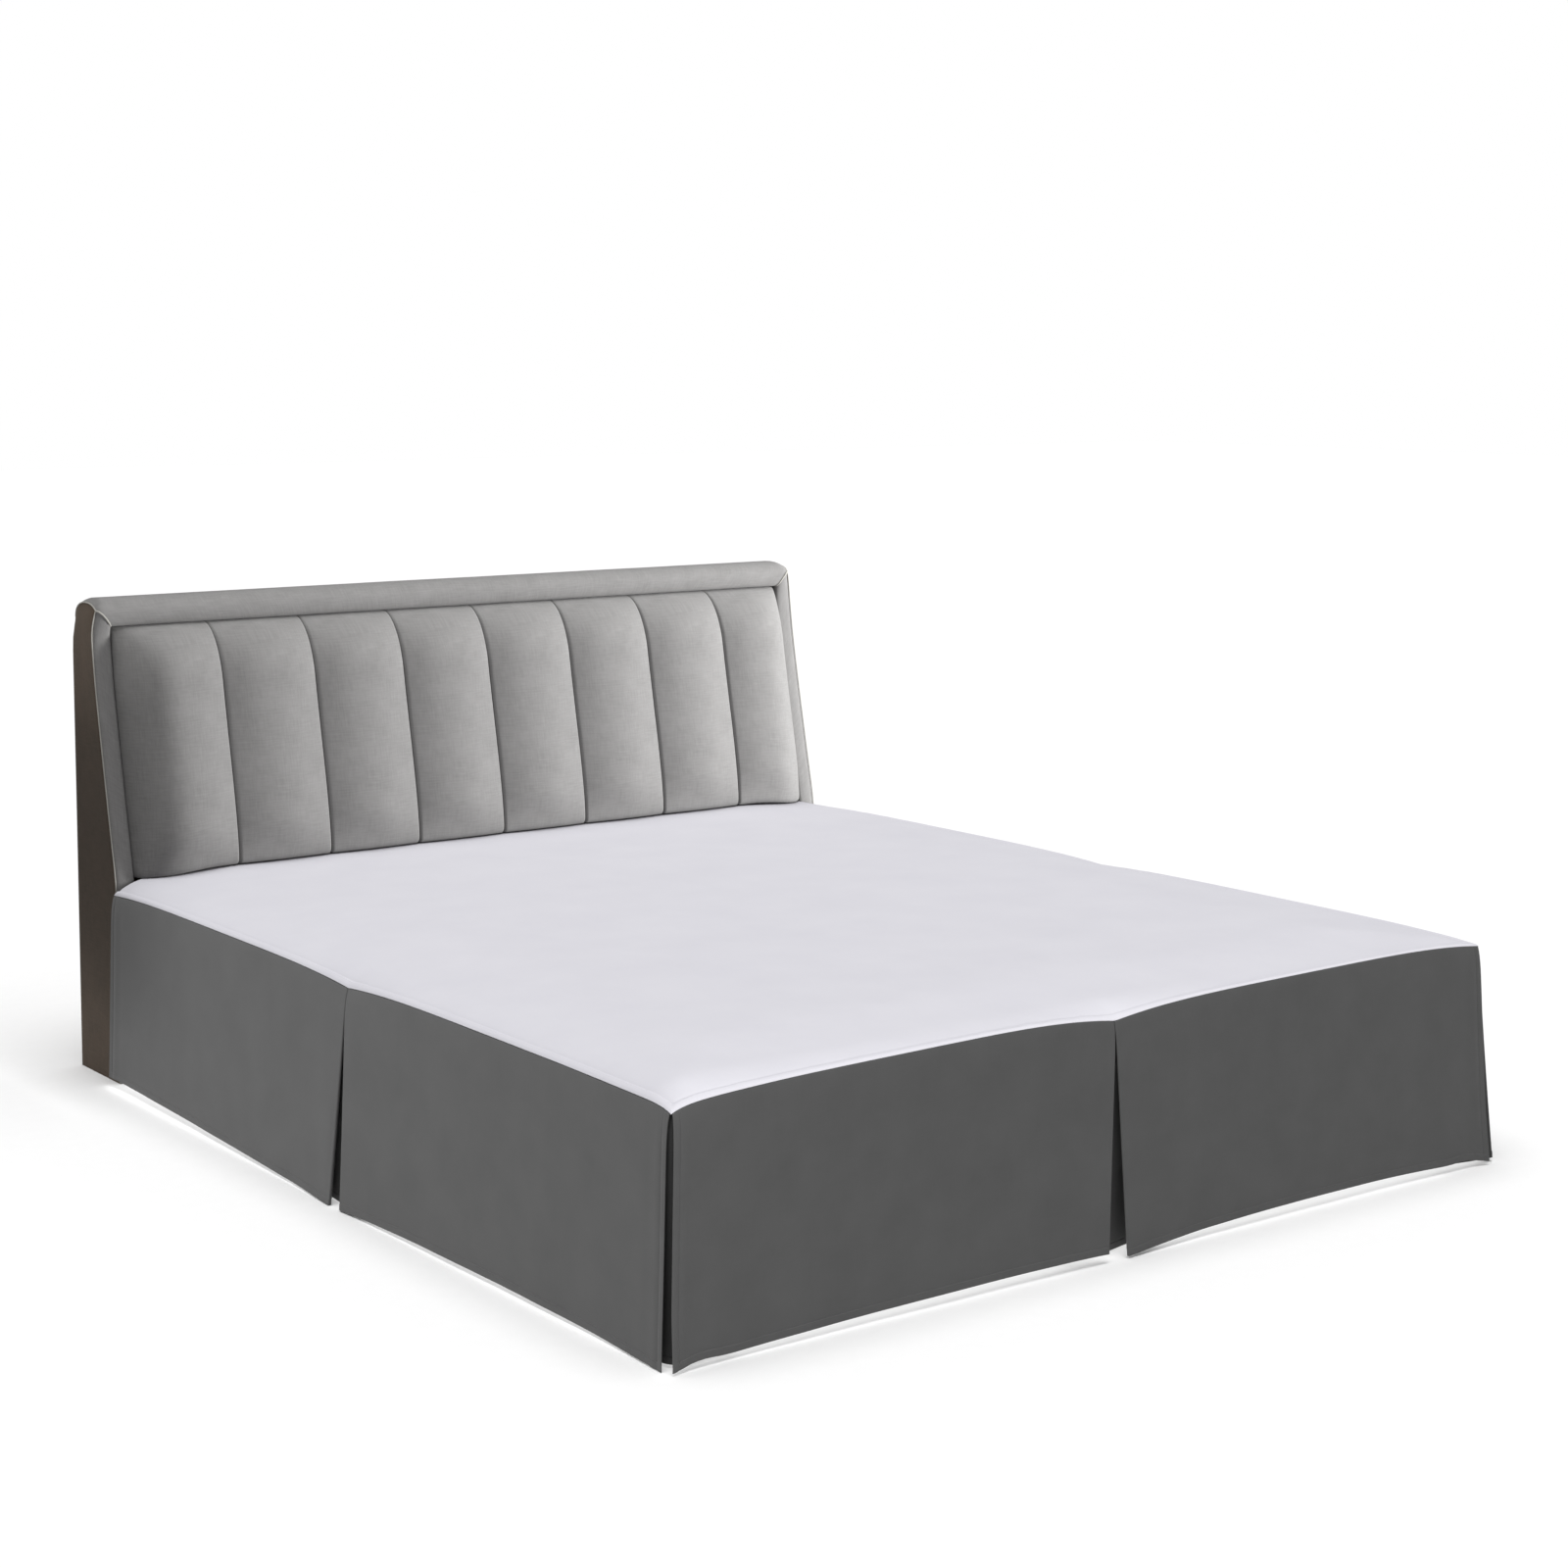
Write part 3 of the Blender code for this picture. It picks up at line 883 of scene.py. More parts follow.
    def build(self, cloth: Material, thread: Material) -> None:
        """Makes the drop and its stitches.

        Args:
            cloth: the drop's finish.
            thread: the thread's finish.
        """
        name = self.side.value + "_drop"
        made = self.mesher.cloth(name, self.grid(), cloth, "skirt_drop", self.form.cloth)
        line = self.hem_line()
        middle = len(line) // 2
        for part, points in (("start", line[:middle]), ("end", line[middle:])):
            mesh = self.mesher.stitches(
                f"{name}_hem_stitches_{part}", points, self.form.outward(self.side),
                self.stitch_length, self.stitch_pitch, self.thread_radius,
            )
            self.mesher.piece(mesh, thread, "skirt_drop")


@dataclass
class CornerInsert:
    """The strip of cloth behind a split foot corner, with a soft bend at the corner."""

    form: SkirtForm
    mesher: Mesher
    side: Side
    depth: Pair
    radius: Pair
    reach: float = 0.110
    length: float = 0.385
    hems: float = 0.020
    row_step: float = 0.015
    bend_steps: int = 8

    def behind(self, side: Side, along: float, down: float) -> Point:
        """Finds a point of the strip behind one of its two drops, some way along it and down."""
        along, outward, height = self.form.face(side, along, down, mix(*self.depth, down))
        return self.form.on_side(side, (along, outward + hem_relief((1 - down) * self.length), height))

    def grid(self) -> Grid:
        """Works out the strip, row by row from the seam to the hem.

        Returns:
            The points in the bed's own place.
        """
        form, outer = self.form, -1 if self.side is Side.LEFT else 1
        reaches = [self.reach * (1 - part / 9) for part in range(7)]
        grid = []
        for down in stretch(self.length, SEAM_STOPS, HEM_STOPS, self.row_step):
            radius = mix(*self.radius, down)
            row = [self.behind(self.side, reach - form.half_length, down) for reach in reaches]
            corner_x = self.behind(self.side, -form.half_length, down)[0] * outer
            _, corner_y, height = self.behind(Side.FOOT, outer * form.half_width, down)
            for step in range(self.bend_steps + 1):
                turn = math.pi / 2 * step / self.bend_steps
                x, y = corner_x - radius * (1 - math.cos(turn)), corner_y + radius * (1 - math.sin(turn))
                row.append((outer * x, y, height))
            row += [
                self.behind(Side.FOOT, outer * (form.half_width - reach), down) for reach in reversed(reaches)
            ]
            grid.append(row)
        return grid

    def build(self, cloth: Material) -> None:
        """Makes the strip.

        Args:
            cloth: its finish.
        """
        name = self.side.value + "_insert"
        made = self.mesher.cloth(name, self.grid(), cloth, "skirt_insert", self.form.cloth)


@dataclass
class PlatformSheet:
    """The flat sheet that lies on the base, with its edges rolled down to the seam."""

    form: SkirtForm
    mesher: Mesher
    step: float = 0.016
    seam_turn: float = 0.0100
    seam_height: float = 0.0021
    seam_slope: float = 0.0035
    seam_pull: Crease = Crease(-0.0008, 0.0125, 0.003)
    pucker: Ripple = Ripple(0.0009, 0.030, 0.030, 3.0)
    pucker_reach: float = 0.05
    lying: tuple[Ripple, ...] = (Ripple(0.0009, 0.34, 0.26, 7.0), Ripple(0.00025, 0.08, 0.07, 8.0))
    flat: Pair = (1.824, 2.034)

    def height(self, x: float, y: float) -> float:
        """Gives the sheet's height, without its small folds.

        Args:
            x: place across the bed.
            y: place along it, from its middle to its head.

        Returns:
            The height above the floor.
        """
        form = self.form
        to_side, to_foot = form.half_width - abs(x), form.half_length + y
        side_part, foot_part = (max(0.0, 1 - edge / form.edge_roll) ** 2 for edge in (to_side, to_foot))
        side = Side.LEFT if x < 0 else Side.RIGHT
        corner = math.copysign(form.half_width, x)
        side_fall, foot_fall, corner_fall = (
            form.sheet_top - form.seam_height(edge, along)
            for edge, along in ((side, y), (Side.FOOT, x), (Side.FOOT, corner))
        )
        fall = side_fall * side_part + foot_fall * foot_part - corner_fall * side_part * foot_part
        return form.sheet_top - fall + form.crown * ease(min(to_side, to_foot) / form.crown_reach)

    def relief(self, x: float, y: float) -> float:
        """Gives the small rise and fall of the cloth: its seam turned under, puckers and ease.

        Args:
            x: place across the bed.
            y: place along it, from its middle to its head.

        Returns:
            The relief in metres.
        """
        edge = min(self.form.half_width - abs(x), self.form.half_length + y)
        over = ease(edge / self.seam_slope) * ease((self.seam_turn + 1.5 * MM - edge) / self.seam_slope)
        pulled = math.exp(-edge / self.pucker_reach) * ease(edge / 0.012)
        lying = sum(wave.at(x, y) for wave in self.lying) * ease(edge / 0.1)
        return self.seam_height * over + self.seam_pull.at(edge) + self.pucker.at(x, y) * pulled + lying

    def grid(self) -> Grid:
        """Works out the sheet, row by row from the foot to the head.

        Returns:
            The points in the bed's own place.
        """
        form = self.form
        edge = millimetres(0, 0.8, 1.8, 3, 4.5, 6.5, 8.5, 10, 11.5, 13, 15, 18, 22, 28, 36, 46, 58, 72)
        pleat = millimetres(0, 4, 10, 18, 30)
        xs = [-form.half_width * (1 - part) for part in stretch(form.half_width, edge, pleat, self.step)]
        xs += [-x for x in reversed(xs[:-1])]
        ys = [-form.half_length * (1 - part) for part in stretch(form.half_length, edge, pleat, self.step)]
        ys += [form.head_end * part for part in stretch(form.head_end, pleat, edge, self.step)[1:]]
        return [[(x, y, self.height(x, y) + self.relief(x, y)) for x in xs] for y in ys]

    def build(self, cloth: Material) -> None:
        """Makes the sheet in its finish."""
        made = self.mesher.cloth("platform_sheet", self.grid(), cloth, "skirt_sheet", self.form.cloth)


@dataclass
class BedSkirt:
    """The whole skirt: a platform sheet, three drops and two corner inserts."""

    mesher: Mesher
    form: SkirtForm
    corner_split: float = 0.0025
    side_lean: Pair = (-0.005, 0.0)
    side_apex: Pair = (0.13, 0.08)
    foot_apex: float = 0.03
    foot_lean: Pair = (-0.018, 0.006)
    foot_pleat: float = -0.016
    foot_pleat_lean: float = -0.010
    foot_opening: Pair = (0.0008, 0.041)
    foot_pitch: Pair = (0.0026, 0.0210)
    left_insert: tuple[Pair, Pair] = ((0.0036, 0.016), (0.010, 0.026))
    right_insert: tuple[Pair, Pair] = ((0.0036, 0.006), (0.006, 0.012))

    def build(self, sheet: Material, cloth: Material, painted_shade_insert_cloth: Material, thread: Material) -> None:
        """Makes the skirt.

        Args:
            sheet: finish of the platform sheet.
            cloth: finish of the drops.
            painted_shade_insert_cloth: finish of the corner inserts, darkened with painted shade.
            thread: finish of the stitches.
        """
        form, mesher = self.form, self.mesher
        PlatformSheet(form, mesher).build(sheet)
        sides = (self.corner_split - form.half_length, form.head_end)
        half = form.half_width - self.corner_split
        left_apex, right_apex = self.side_apex
        for drop in (
            Drop(form, mesher, Side.LEFT, *sides, left_apex, 0.0, *self.side_lean),
            Drop(
                form, mesher, Side.FOOT, -half, half, self.foot_apex, self.foot_pleat,
                *self.foot_lean, self.foot_pleat_lean, self.foot_opening, self.foot_pitch,
            ),
            Drop(form, mesher, Side.RIGHT, *sides, right_apex, 0.0, *self.side_lean),
        ):
            drop.build(cloth, thread)
        CornerInsert(form, mesher, Side.LEFT, *self.left_insert).build(painted_shade_insert_cloth)
        CornerInsert(form, mesher, Side.RIGHT, *self.right_insert).build(painted_shade_insert_cloth)


# ---------------------------------------------------------------- the bed


class Front(NamedTuple):
    """A point of the headboard seen from its side."""

    height: float
    depth: float


def depth_on(line: Sequence[Front], height: float, beyond: float) -> float:
    """Reads the depth of a rising line at a height.

    Args:
        line: its points, from the lowest up.
        height: the height.
        beyond: the depth above the highest point.

    Returns:
        The depth there.
    """
    for low, high in zip(line, line[1:]):
        if height <= high.height:
            return mix(low.depth, high.depth, (height - low.height) / (high.height - low.height))
    return beyond


def fronts(*values: float) -> tuple[Front, ...]:
    """Takes values by twos, a height and a depth, as points of the headboard."""
    return tuple(Front(*pair) for pair in zip(values[::2], values[1::2]))


@dataclass(frozen=True)
class HeadboardForm:
    """The shape of the headboard, before its padding."""

    half_width: float = 0.893
    back: float = 1.215
    border_width: float = 0.042
    border_thickness: float = 0.022
    border_top: float = 0.9325
    corner_radius: float = 0.030
    lean_start: float = 0.90
    front: tuple[Front, ...] = fronts(
        0.000, 1.016, 0.410, 1.016, 0.540, 1.045, 0.680, 1.075, 0.820, 1.103, 0.930, 1.118, 0.990, 1.124
    )
    roll: tuple[Front, ...] = fronts(
        0.9325, 1.1180, 0.9345, 1.1120, 0.9400, 1.1075, 0.9500, 1.1052, 0.9600, 1.1052, 0.9690, 1.1080,
        0.9760, 1.1130, 0.9820, 1.1205, 0.9865, 1.1310, 0.9890, 1.1440, 0.9899, 1.1600, 0.9893, 1.1760,
        0.9860, 1.1900, 0.9810, 1.2010, 0.9740, 1.2090, 0.9650, 1.2135, 0.9556, 1.2150,
    )
    mitre: int = 6
    side_roll: Pair = (0.065, 0.026)

    @property
    def inner(self) -> float:
        """Half the width between the two borders."""
        return self.half_width - self.border_width

    @property
    def corner(self) -> float:
        """Half the roll's whole width: its seams to the side covers lie there."""
        return self.half_width - self.corner_radius * (1 - math.sqrt(0.5))

    def front_depth(self, height: float) -> float:
        """Gives how far back the border's front lies at a height, with its rake smoothed."""
        heights = [height + offset * 0.02 for offset in (-2, -1, 0, 1, 2)]
        return sum(depth_on(self.front, near, self.front[-1].depth) for near in heights) / 5

    def corner_fall(self, across: float) -> float:
        """Gives how far the rounded top corner has fallen at a distance from the middle."""
        beyond = min(max(0.0, across - (self.half_width - self.corner_radius)), self.corner_radius)
        return self.corner_radius - math.sqrt(self.corner_radius**2 - beyond**2)

    def reach(self, index: int) -> float:
        """Gives how far out a point of the roll's section goes, up to the mitre or the side."""
        grown, whole = (self.roll[at].height - self.border_top for at in (index, self.mitre))
        return self.corner if index >= self.mitre else mix(self.inner, self.corner, grown / whole)

    def lowered(self, across: float, height: float) -> float:
        """Gives the height of a point of the roll, fallen with the rounded corner."""
        return height - self.corner_fall(across) * ease((height - self.border_top) / 0.03)

    def mitre_point(self, part: float) -> Point:
        """Finds a point of the mitre between border and roll.

        Args:
            part: how far along it, from 0 by the pads to 1 at the side.

        Returns:
            The point, on the right side.
        """
        index = min(int(part * self.mitre), self.mitre - 1)
        ends = []
        for at in (index, index + 1):
            x, (height, depth) = self.reach(at), self.roll[at]
            ends.append((x, depth, self.lowered(x, height)))
        return tuple(mix(first, second, part * self.mitre - index) for first, second in zip(*ends))

    def side_edge(self) -> list[Front]:
        """Gives the top edge of a side cover, from the mitre over the top to the back."""
        return [Front(self.lowered(self.corner, height), depth) for height, depth in self.roll[self.mitre :]]

    def side_front(self, height: float) -> float:
        """Gives the depth of a side cover's front edge.

        Args:
            height: the height above the floor.

        Returns:
            The depth at that height.
        """
        edge = self.side_edge()
        if height > edge[0].height:
            return depth_on(edge, height, max(edge).depth)
        lean = ease((height - self.lean_start) / (edge[0].height - self.lean_start))
        return mix(self.front_depth(height), edge[0].depth, lean)

    def side_back(self, height: float) -> float:
        """Gives the depth of a side cover's back edge at a height."""
        edge = self.side_edge()[::-1]
        return self.back if height < edge[0].height else depth_on(edge, height, max(edge).depth)

    def outer(self, height: float, depth: float) -> float:
        """Gives a side cover's half width, drawn in towards its top edge.

        Args:
            height: height of a point of the cover.
            depth: depth of that point.

        Returns:
            Its distance from the headboard's middle line.
        """
        tall, deep = self.side_roll
        edge = [Vector((point.height / tall, point.depth / deep)) for point in self.side_edge()]
        here = Vector((height / tall, depth / deep))
        apart = min((here - point).length for point in edge)
        for first, second in zip(edge, edge[1:]):
            run = second - first
            part = min(max((here - first).dot(run) / run.length_squared, 0.0), 1.0)
            apart = min(apart, (here - first - run * part).length)
        return self.half_width - (self.half_width - self.corner) * max(0.0, 1 - apart) ** 2


@dataclass
class Headboard:
    """The upholstered headboard: its body, its border, its roll, its piping and eight pads."""

    mesher: Mesher
    form: HeadboardForm
    slot: str = "headboard_linen"
    channels: int = 8
    pad_bottom: float = 0.4345
    pad_end_drop: float = 0.0128
    pad_end_reach: float = 0.172
    pad_top: float = 0.9315
    pad_set_back: float = -0.010
    pad_field: Pair = (0.048, 0.068)
    pad_full: float = 0.220
    pad_low: float = 0.090
    pad_crown: float = 0.024
    pad_top_round: float = 0.120
    pad_end_round: float = 0.110
    pad_step: float = 0.012
    seam_tuck: float = 0.007
    seam_round: float = 0.006
    groove: float = 0.012
    groove_width: float = 0.007
    foot_tuck: float = 0.010
    foot_round: float = 0.014
    border_crown: float = 0.003
    border_edge: float = 0.0025
    border_round: float = 0.003
    border_steps: int = 12
    piping_radius: float = 0.0014
    piping_steps: int = 80
    mitre_steps: int = 12
    side_wrap: float = 0.0022
    side_behind: float = 0.0018
    gap: float = 0.0003
    pad_uneven: Ripple = Ripple(0.0005, 0.07, 0.09, 20.0)
    pad_pucker: Ripple = Ripple(0.0005, 0.05, 0.013, 40.0)
    pucker_reach: float = 0.012
    roll_uneven: Ripple = Ripple(0.0005, 0.11, 0.05, 61.0)
    side_uneven: Ripple = Ripple(0.0006, 0.09, 1.0, 71.0)

    def bottom(self, across: float) -> float:
        """Gives the height of a pad's lower edge, which follows the sheet down to the sides."""
        end = self.form.inner - abs(across)
        return self.pad_bottom - self.pad_end_drop * (1 - ease(end / self.pad_end_reach))

    def pad_proud(self, across: float, height: float, channel: int, part: float) -> float:
        """Gives how far in front of the border a pad stands.

        Args:
            across: distance from the headboard's middle line, left negative.
            height: height above the floor.
            channel: which channel, from 0 at the left.
            part: place across that channel, from 0 to 1.

        Returns:
            The distance in metres.
        """
        risen = height - self.pad_bottom
        end = self.form.inner - abs(across)
        top = rounded((self.pad_top - height) / self.pad_top_round)
        field = mix(*self.pad_field, rounded(risen / self.pad_full))
        crown = self.pad_crown * bow(part, 2) * top * mix(0.2, 1.0, ease(risen / self.pad_low))
        beside = min(part, 1 - part) * 2 * self.form.inner / self.channels
        tuck = self.seam_tuck * (1 - rounded(beside / self.seam_round)) * (0.35 + 0.65 * top)
        tuck += self.groove * (1 - rounded(end / self.groove_width))
        tuck += self.foot_tuck * (1 - rounded(risen / self.foot_round))
        uneven = self.pad_uneven.at(across, height, channel)
        uneven += self.pad_pucker.at(across, height, channel) * math.exp(-beside / self.pucker_reach)
        stands = mix(self.pad_set_back, field, top * rounded(end / self.pad_end_round)) + crown - tuck
        return stands + uneven * ease(beside / 0.004) * top

    def pad(self, channel: int, linen: Material) -> None:
        """Makes one padded channel as a closed body.

        Args:
            channel: which channel, from 0 at the left.
            linen: its finish.
        """
        form = self.form
        width = 2 * form.inner / self.channels
        left = -form.inner + channel * width + self.gap
        right = left + width - 2 * self.gap
        beside = millimetres(0, 0.3, 0.9, 1.8, 3, 4.4, 6, 8.5, 12, 18)
        foot = millimetres(0, 0.6, 1.8, 4, 7, 10, 15)
        top = millimetres(0, 0.3, 1, 2.2, 4, 6.5, 10, 14, 19, 25, 32, 40, 50, 62, 76, 92)
        across = stretch(right - left, beside, beside, self.pad_step)
        rings = []
        for upward in stretch(self.pad_top - self.pad_bottom, foot, top, self.pad_step):
            level = mix(self.pad_bottom, self.pad_top, upward)
            border = form.front_depth(level)
            back = border + form.border_thickness - 2 * self.gap
            ring = [(x, back, mix(self.bottom(x), self.pad_top, upward)) for x in (right, left)]
            for part in across:
                x = mix(left, right, part)
                depth = min(border - self.pad_proud(x, level, channel, part), back - MM)
                ring.append((x, depth, mix(self.bottom(x), self.pad_top, upward)))
            rings.append(ring)
        name = f"pad_{channel + 1}"
        self.mesher.padding(f"{name}_cover", rings, linen, self.slot, name, 0.85)

    def border(self, sign: int, linen: Material) -> None:
        """Makes the upright border at one side, mitred at its top.

        Args:
            sign: -1 at the left and 1 at the right.
            linen: its finish.
        """
        form = self.form
        depth = form.border_thickness - self.gap
        rings = []
        for upward in stretch(1.0, [0, 0.004, 0.012], [0, 0.004, 0.012, 0.03, 0.06, 0.1], 0.02):
            front = []
            for step in range(self.border_steps + 1):
                part = step / self.border_steps
                end_x, end_y, end_z = form.mitre_point(part)
                height = end_z * upward
                side = form.side_front(height)
                x = mix(form.inner + 2 * self.gap, form.outer(height, side) - self.side_wrap, part)
                x = mix(x, end_x - self.gap, ease((upward - 0.95) / 0.05))
                y = mix(form.front_depth(height), side, part) - self.border_crown * bow(part, 2.5)
                beside = min(part, 1 - part) * form.border_width
                y += self.border_edge * (1 - rounded(beside / self.border_round))
                lean = ease((height - form.lean_start) / (end_z - form.lean_start))
                front.append((sign * x, mix(y, end_y + MM, lean), height))
            first, last = front[0], front[-1]
            turns = ((last, 0.5), (last, 1), (first, 1), (first, 0.5))
            rings.append(front + [(x, y + depth * part, z) for (x, y, z), part in turns])
        name = "border_left" if sign < 0 else "border_right"
        self.mesher.padding(f"{name}_cover", rings, linen, self.slot, name, 0.7)

    def top_roll(self, linen: Material) -> None:
        """Makes the roll over the top, whose ends are mitred and fall with the rounded corners.

        Args:
            linen: its finish.
        """
        form = self.form
        section = form.roll + fronts(0.9553, 1.1405, 0.9325, 1.1405)
        ends = [0, 0.0015, 0.0035, 0.006, 0.009, 0.0125, 0.017, 0.022, 0.028, 0.038, 0.05]
        parts = [1 - stop for stop in stretch(1.0, ends, [0, 0.03, 0.06], 0.04)]
        rings = []
        for part in [-part for part in parts] + parts[-2::-1]:
            ring = []
            for index, (height, depth) in enumerate(section):
                shows = index < len(form.roll)
                x = part * (form.reach(index) if shows else form.inner)
                uneven = self.roll_uneven.at(x, depth) * shows
                ring.append((x, depth - uneven, form.lowered(abs(x), height) + uneven * 0.5))
            rings.append(ring)
        self.mesher.padding("top_roll_cover", rings, linen, self.slot, "top_roll", 0.8)

    def body(self, side_linen: Material) -> None:
        """Makes the upholstered body behind the border: its two sides and its back.

        Args:
            side_linen: its finish, the linen darkened with painted shade.
        """
        form = self.form
        top = max(form.side_edge()).height - 0.0004
        near_top = [0, 0.0008, 0.002, 0.004, 0.0065, 0.0095, 0.013, 0.017, 0.022, 0.028, 0.036, 0.046]
        rings = []
        for upward in stretch(top, [0, 0.003, 0.010], near_top, 0.03):
            height = top * upward
            front, back = form.side_front(height) + self.side_behind, form.side_back(height)
            hollow = min(front + form.border_thickness, mix(front, back, 0.45))
            soft = self.side_uneven.at(height, 0.0)
            outline = [(0.0065, hollow), (0.0060, front + 0.002), (0.003, front), (0.0010, front + 0.0010)]
            for part in (0.02, 0.06, 0.12, 0.20, 0.32, 0.5, 0.68, 0.80, 0.88, 0.94, 0.98):
                outline.append((-soft * bow(part, 4) * 0.5, mix(front, back, part)))
            outline += [(0.0010, back - 0.0008), (0.003, back)]
            ring = [(x - form.outer(height, y), y, height) for x, y in outline]
            rings.append(ring + [(-x, y, z) for x, y, z in reversed(ring)])
        self.mesher.padding("headboard_body", rings, side_linen, self.slot, "headboard_core", 1.0)

    def piping(self, sign: int, cloth: Material) -> None:
        """Makes the piping at one side: up the front edge, back over the top, and on the mitre.

        Args:
            sign: -1 at the left and 1 at the right.
            cloth: its finish.
        """
        form, radius = self.form, self.piping_radius
        seam = form.side_edge()
        edge = []
        for step in range(self.piping_steps + 1):
            height = seam[0].height * step / self.piping_steps
            depth = form.side_front(height)
            edge.append((sign * (form.outer(height, depth) - radius * 0.4), depth - radius * 0.1, height))
        for height, depth in seam[1:]:
            edge.append((sign * (form.corner + radius * 0.3), depth, height + radius * 0.2))
        x, y, z = edge[-1]
        edge.append((x - sign * 3 * radius, y - 3 * radius, z - 2 * radius))
        points = [form.mitre_point(step / self.mitre_steps) for step in range(self.mitre_steps + 1)]
        mitre = [(sign * x, y - radius * 0.4, z) for x, y, z in points]
        side = "left" if sign < 0 else "right"
        for name, path, thickness in (("edge", edge, radius), ("mitre", mitre, radius * 1.3)):
            self.mesher.piece(self.mesher.tube(f"piping_{name}_{side}", path, thickness), cloth, self.slot)

    def build(self, linen: Material, side_linen: Material, piping_cloth: Material) -> None:
        """Makes the whole headboard.

        Args:
            linen: finish of the pads, border and roll.
            side_linen: finish of the body, the linen darkened with painted shade.
            piping_cloth: finish of the piping, paler than the linen as a painted highlight.
        """
        self.body(side_linen)
        self.top_roll(linen)
        for sign in (-1, 1):
            self.border(sign, linen)
            self.piping(sign, piping_cloth)
        for channel in range(self.channels):
            self.pad(channel, linen)


@dataclass
class Base:
    """The padded base under the sheet, and the six legs that it stands on."""

    mesher: Mesher
    half_width: float = 0.885
    foot: float = -0.985
    head: float = 1.000
    bottom: float = 0.100
    top: float = 0.4150
    radius: float = 0.050
    least_radius: float = 0.004
    steps: int = 8

    def ring(self, inset: float, height: float) -> list[Point]:
        """Gives the base's outline at a height.

        Args:
            inset: how far it is drawn in there.
            height: the height.

        Returns:
            The points of the outline.
        """
        radius = max(self.radius - inset, self.least_radius)
        right, head = self.half_width - inset - radius, self.head - inset - radius
        foot = self.foot + inset + radius
        ring = []
        for quarter, (x, y) in enumerate(((right, head), (-right, head), (-right, foot), (right, foot))):
            for step in range(self.steps + 1):
                turn = math.pi / 2 * (quarter + step / self.steps)
                ring.append((x + radius * math.cos(turn), y + radius * math.sin(turn), height))
        return ring

    def build(self, lining: Material, plastic: Material) -> None:
        """Makes the base and gives the legs of the frame their finish.

        Args:
            lining: the base's finish.
            plastic: the legs' finish.
        """
        rings = [self.ring(0.004, self.bottom), self.ring(0.001, self.bottom + 0.002)]
        heights = [mix(self.bottom + 0.005, self.top - self.radius, part / 6) for part in range(7)]
        rings += [self.ring(0.0, height) for height in heights]
        for step in range(1, self.steps + 1):
            turn = math.pi / 2 * step / self.steps
            height = self.top - self.radius * (1 - math.sin(turn))
            rings.append(self.ring(self.radius * (1 - math.cos(turn)), height))
        self.mesher.padding("base_box", rings, lining, "base_fabric", "base", 0.9)
        for name, node in frame["nodes"].items():
            if name.startswith("leg_"):
                node.data.materials.clear()
                node.data.materials.append(plastic)
                LOG.info("%s: finished", name)


# ---------------------------------------------------------------- studio


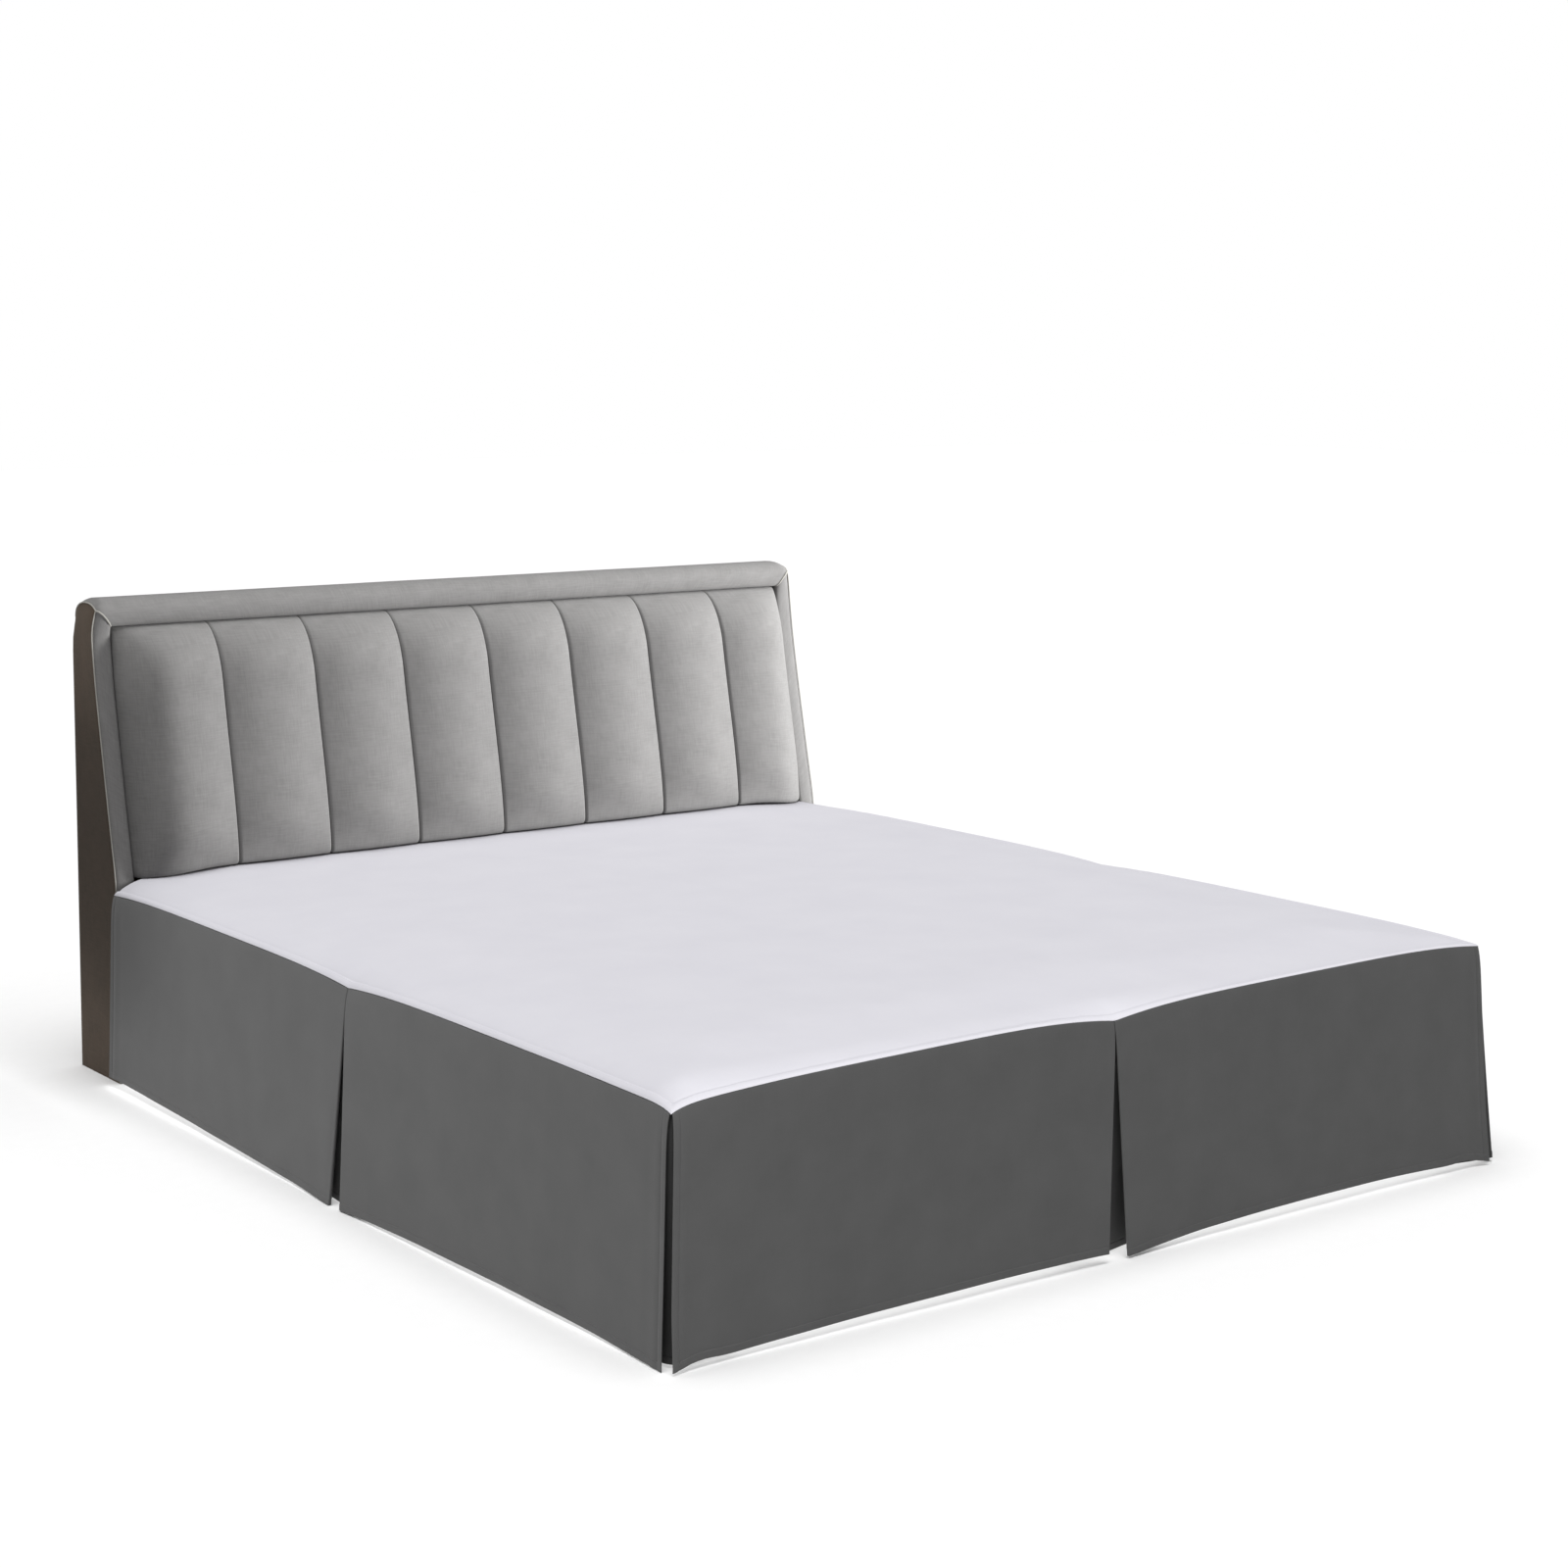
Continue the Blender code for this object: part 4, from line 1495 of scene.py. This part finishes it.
@dataclass
class Studio:
    """A plain pale floor, soft light and the camera."""

    lens_mm: float = 64.395
    sensor_mm: float = 36.0
    shift_y: float = -0.118125
    camera_place: Point = (-3.164, -4.41975, 1.493)
    pitch_down: float = 5.0
    yaw_right: float = 36.59
    farthest: float = 200.0
    floor_size: float = 60.0
    sky_strength: float = 0.32
    sun_turn: Point = (5, -5, 0)
    sun_softness: float = 50
    sun_strength: float = 2.75
    flag_along: Point = (-1.06, 0.72, 1.90)
    flag_up: Pair = (0.12, 0.72)

    def build(self, mesher: Mesher) -> None:
        """Makes the floor, the lights, the black board and the camera.

        Args:
            mesher: knows where the bed stands.
        """
        floor = bpy.data.collections.new("floor")
        floor.objects.link(self.floor())
        self.sky()
        self.sun()
        under = mesher.middle_y
        left, foot, sheet = self.lit("left_drop_"), self.lit("foot_drop_"), self.lit("platform_sheet_")
        linen = self.lit("pad_", "border_", "top_roll_", "piping_")
        self.panel("left", (-4.5, 1.6, 1.1), (-0.9, 0.0, 0.2), (2.0, 2.0), 58.0, left)
        self.panel("foot", (-3.0, -2.3, 1.0), (0.0, -1.0, 0.2), (1.2, 1.2), 36.0, foot)
        self.panel("seam", (-1.0, -4.6, 0.43), (0.0, -1.0, 0.41), (0.4, 0.4), 60.0, sheet)
        self.panel("right", (3.6, -1.4, 1.15), (0.2, 1.0, 0.72), (1.1, 1.1), 398.0, linen)
        self.panel("under", (0.0, under, 0.020), (0.0, under, 0.0), (1.85, 2.035), 12.3, floor)
        self.flag()
        self.camera()

    @staticmethod
    def lit(*starts: str) -> bpy.types.Collection:
        """Gathers the pieces whose names start with one of some words, for a light meant for them.

        Args:
            starts: the starts of the pieces' names.

        Returns:
            The collection.
        """
        gathered = bpy.data.collections.new(f"{starts[0]}lit")
        for thing in list(bpy.data.objects):
            if thing.name.startswith(starts):
                gathered.objects.link(thing)
        return gathered

    @staticmethod
    def put(name: str, data: bpy.types.ID) -> Piece:
        """Puts a board, a light or the camera in the scene, and returns it."""
        bpy.context.scene.collection.objects.link(thing := bpy.data.objects.new(name, data))
        return thing

    def board(self, name: str, corners: Sequence[Point], finish: PlainSurface) -> Piece:
        """Makes a flat board of the studio.

        Args:
            name: its name.
            corners: its four corners.
            finish: its finish.

        Returns:
            The board.
        """
        mesh = bpy.data.meshes.new(name)
        mesh.from_pydata(corners, [], [(0, 1, 2, 3)])
        mesh.materials.append(finish.material())
        thing = self.put(name, mesh)
        return thing

    def flag(self) -> None:
        """Makes a black board by the headboard, out of sight, that keeps some light off its side."""
        (x, front, back), (low, top) = self.flag_along, self.flag_up
        corners = [(x, front, low), (x, back, low), (x, back, top), (x, front, top)]
        thing = self.board("flag", corners, DUVETYN)
        thing.visible_camera = thing.visible_shadow = thing.visible_glossy = False

    def floor(self) -> Piece:
        """Makes the floor.

        Returns:
            The floor.
        """
        half = self.floor_size / 2
        corners = [(x * half, y * half, 0) for x, y in ((-1, -1), (1, -1), (1, 1), (-1, 1))]
        return self.board("floor", corners, STUDIO_PAINT)

    def sky(self) -> None:
        """Makes the even light from all round, in front of a backdrop lit up to white."""
        world = bpy.data.worlds.new("studio")
        bpy.context.scene.world = world
        world.use_nodes = True
        tree = world.node_tree
        light = tree.nodes["Background"]
        light.inputs["Color"].default_value = (1.0, 1.0, 1.0, 1.0)
        light.inputs["Strength"].default_value = self.sky_strength
        backdrop = add_node(tree, "ShaderNodeBackground", {"Color": (1.0, 1.0, 1.0, 1.0)})
        seen = add_node(tree, "ShaderNodeLightPath").outputs["Is Camera Ray"]
        shown = {0: seen, 1: light.outputs[0], 2: backdrop.outputs[0]}
        both = add_node(tree, "ShaderNodeMixShader", links=shown)
        tree.links.new(both.outputs[0], tree.nodes["World Output"].inputs["Surface"])

    def sun(self) -> None:
        """Adds a wide, even light from overhead."""
        light = bpy.data.lights.new("overhead", "SUN")
        light.energy = self.sun_strength
        light.angle = math.radians(self.sun_softness)
        self.put("overhead", light).rotation_euler = [math.radians(angle) for angle in self.sun_turn]

    def panel(
        self, name: str, place: Point, target: Point, size: Pair, power: float, lit: bpy.types.Collection
    ) -> None:
        """Adds a light panel that faces a target.

        Args:
            name: its name.
            place: where it stands.
            target: the point that it faces.
            size: its width and length in metres.
            power: its power in watts.
            lit: the pieces that it is meant for.
        """
        light = bpy.data.lights.new(name, "AREA")
        light.shape = "RECTANGLE"
        light.size, light.size_y = size
        light.energy = power
        thing = self.put(name, light)
        thing.location = place
        thing.rotation_euler = (Vector(target) - Vector(place)).to_track_quat("-Z", "Y").to_euler()
        thing.visible_camera = False
        thing.light_linking.receiver_collection = lit

    def camera(self) -> None:
        """Adds the camera."""
        data = bpy.data.cameras.new("camera")
        data.sensor_width = self.sensor_mm
        data.lens = self.lens_mm
        data.shift_y = self.shift_y
        data.clip_end = self.farthest
        thing = self.put("camera", data)
        thing.location = self.camera_place
        thing.rotation_euler = (math.radians(90 - self.pitch_down), 0, -math.radians(self.yaw_right))
        bpy.context.scene.camera = thing


def main() -> None:
    """Builds the bed skirt, the bed and the studio."""
    logging.basicConfig(level=logging.INFO, format="%(name)s %(message)s")
    bpy.context.scene.view_settings.view_transform = "Standard"
    mesher = Mesher()
    BedSkirt(mesher, SkirtForm()).build(
        PERCALE.material(), MICROFIBRE.material(), PAINTED_SHADE_INSERT_CLOTH.material(), THREAD.material()
    )
    Base(mesher).build(LINING.material(), LEG_POLYPROPYLENE.material())
    headboard = Headboard(mesher, HeadboardForm())
    headboard.build(LINEN.material(), PAINTED_SHADE_SIDE_LINEN.material(), PAINTED_HIGHLIGHT_PIPING_CLOTH.material())
    Studio().build(mesher)


if __name__ == "__main__":
    main()
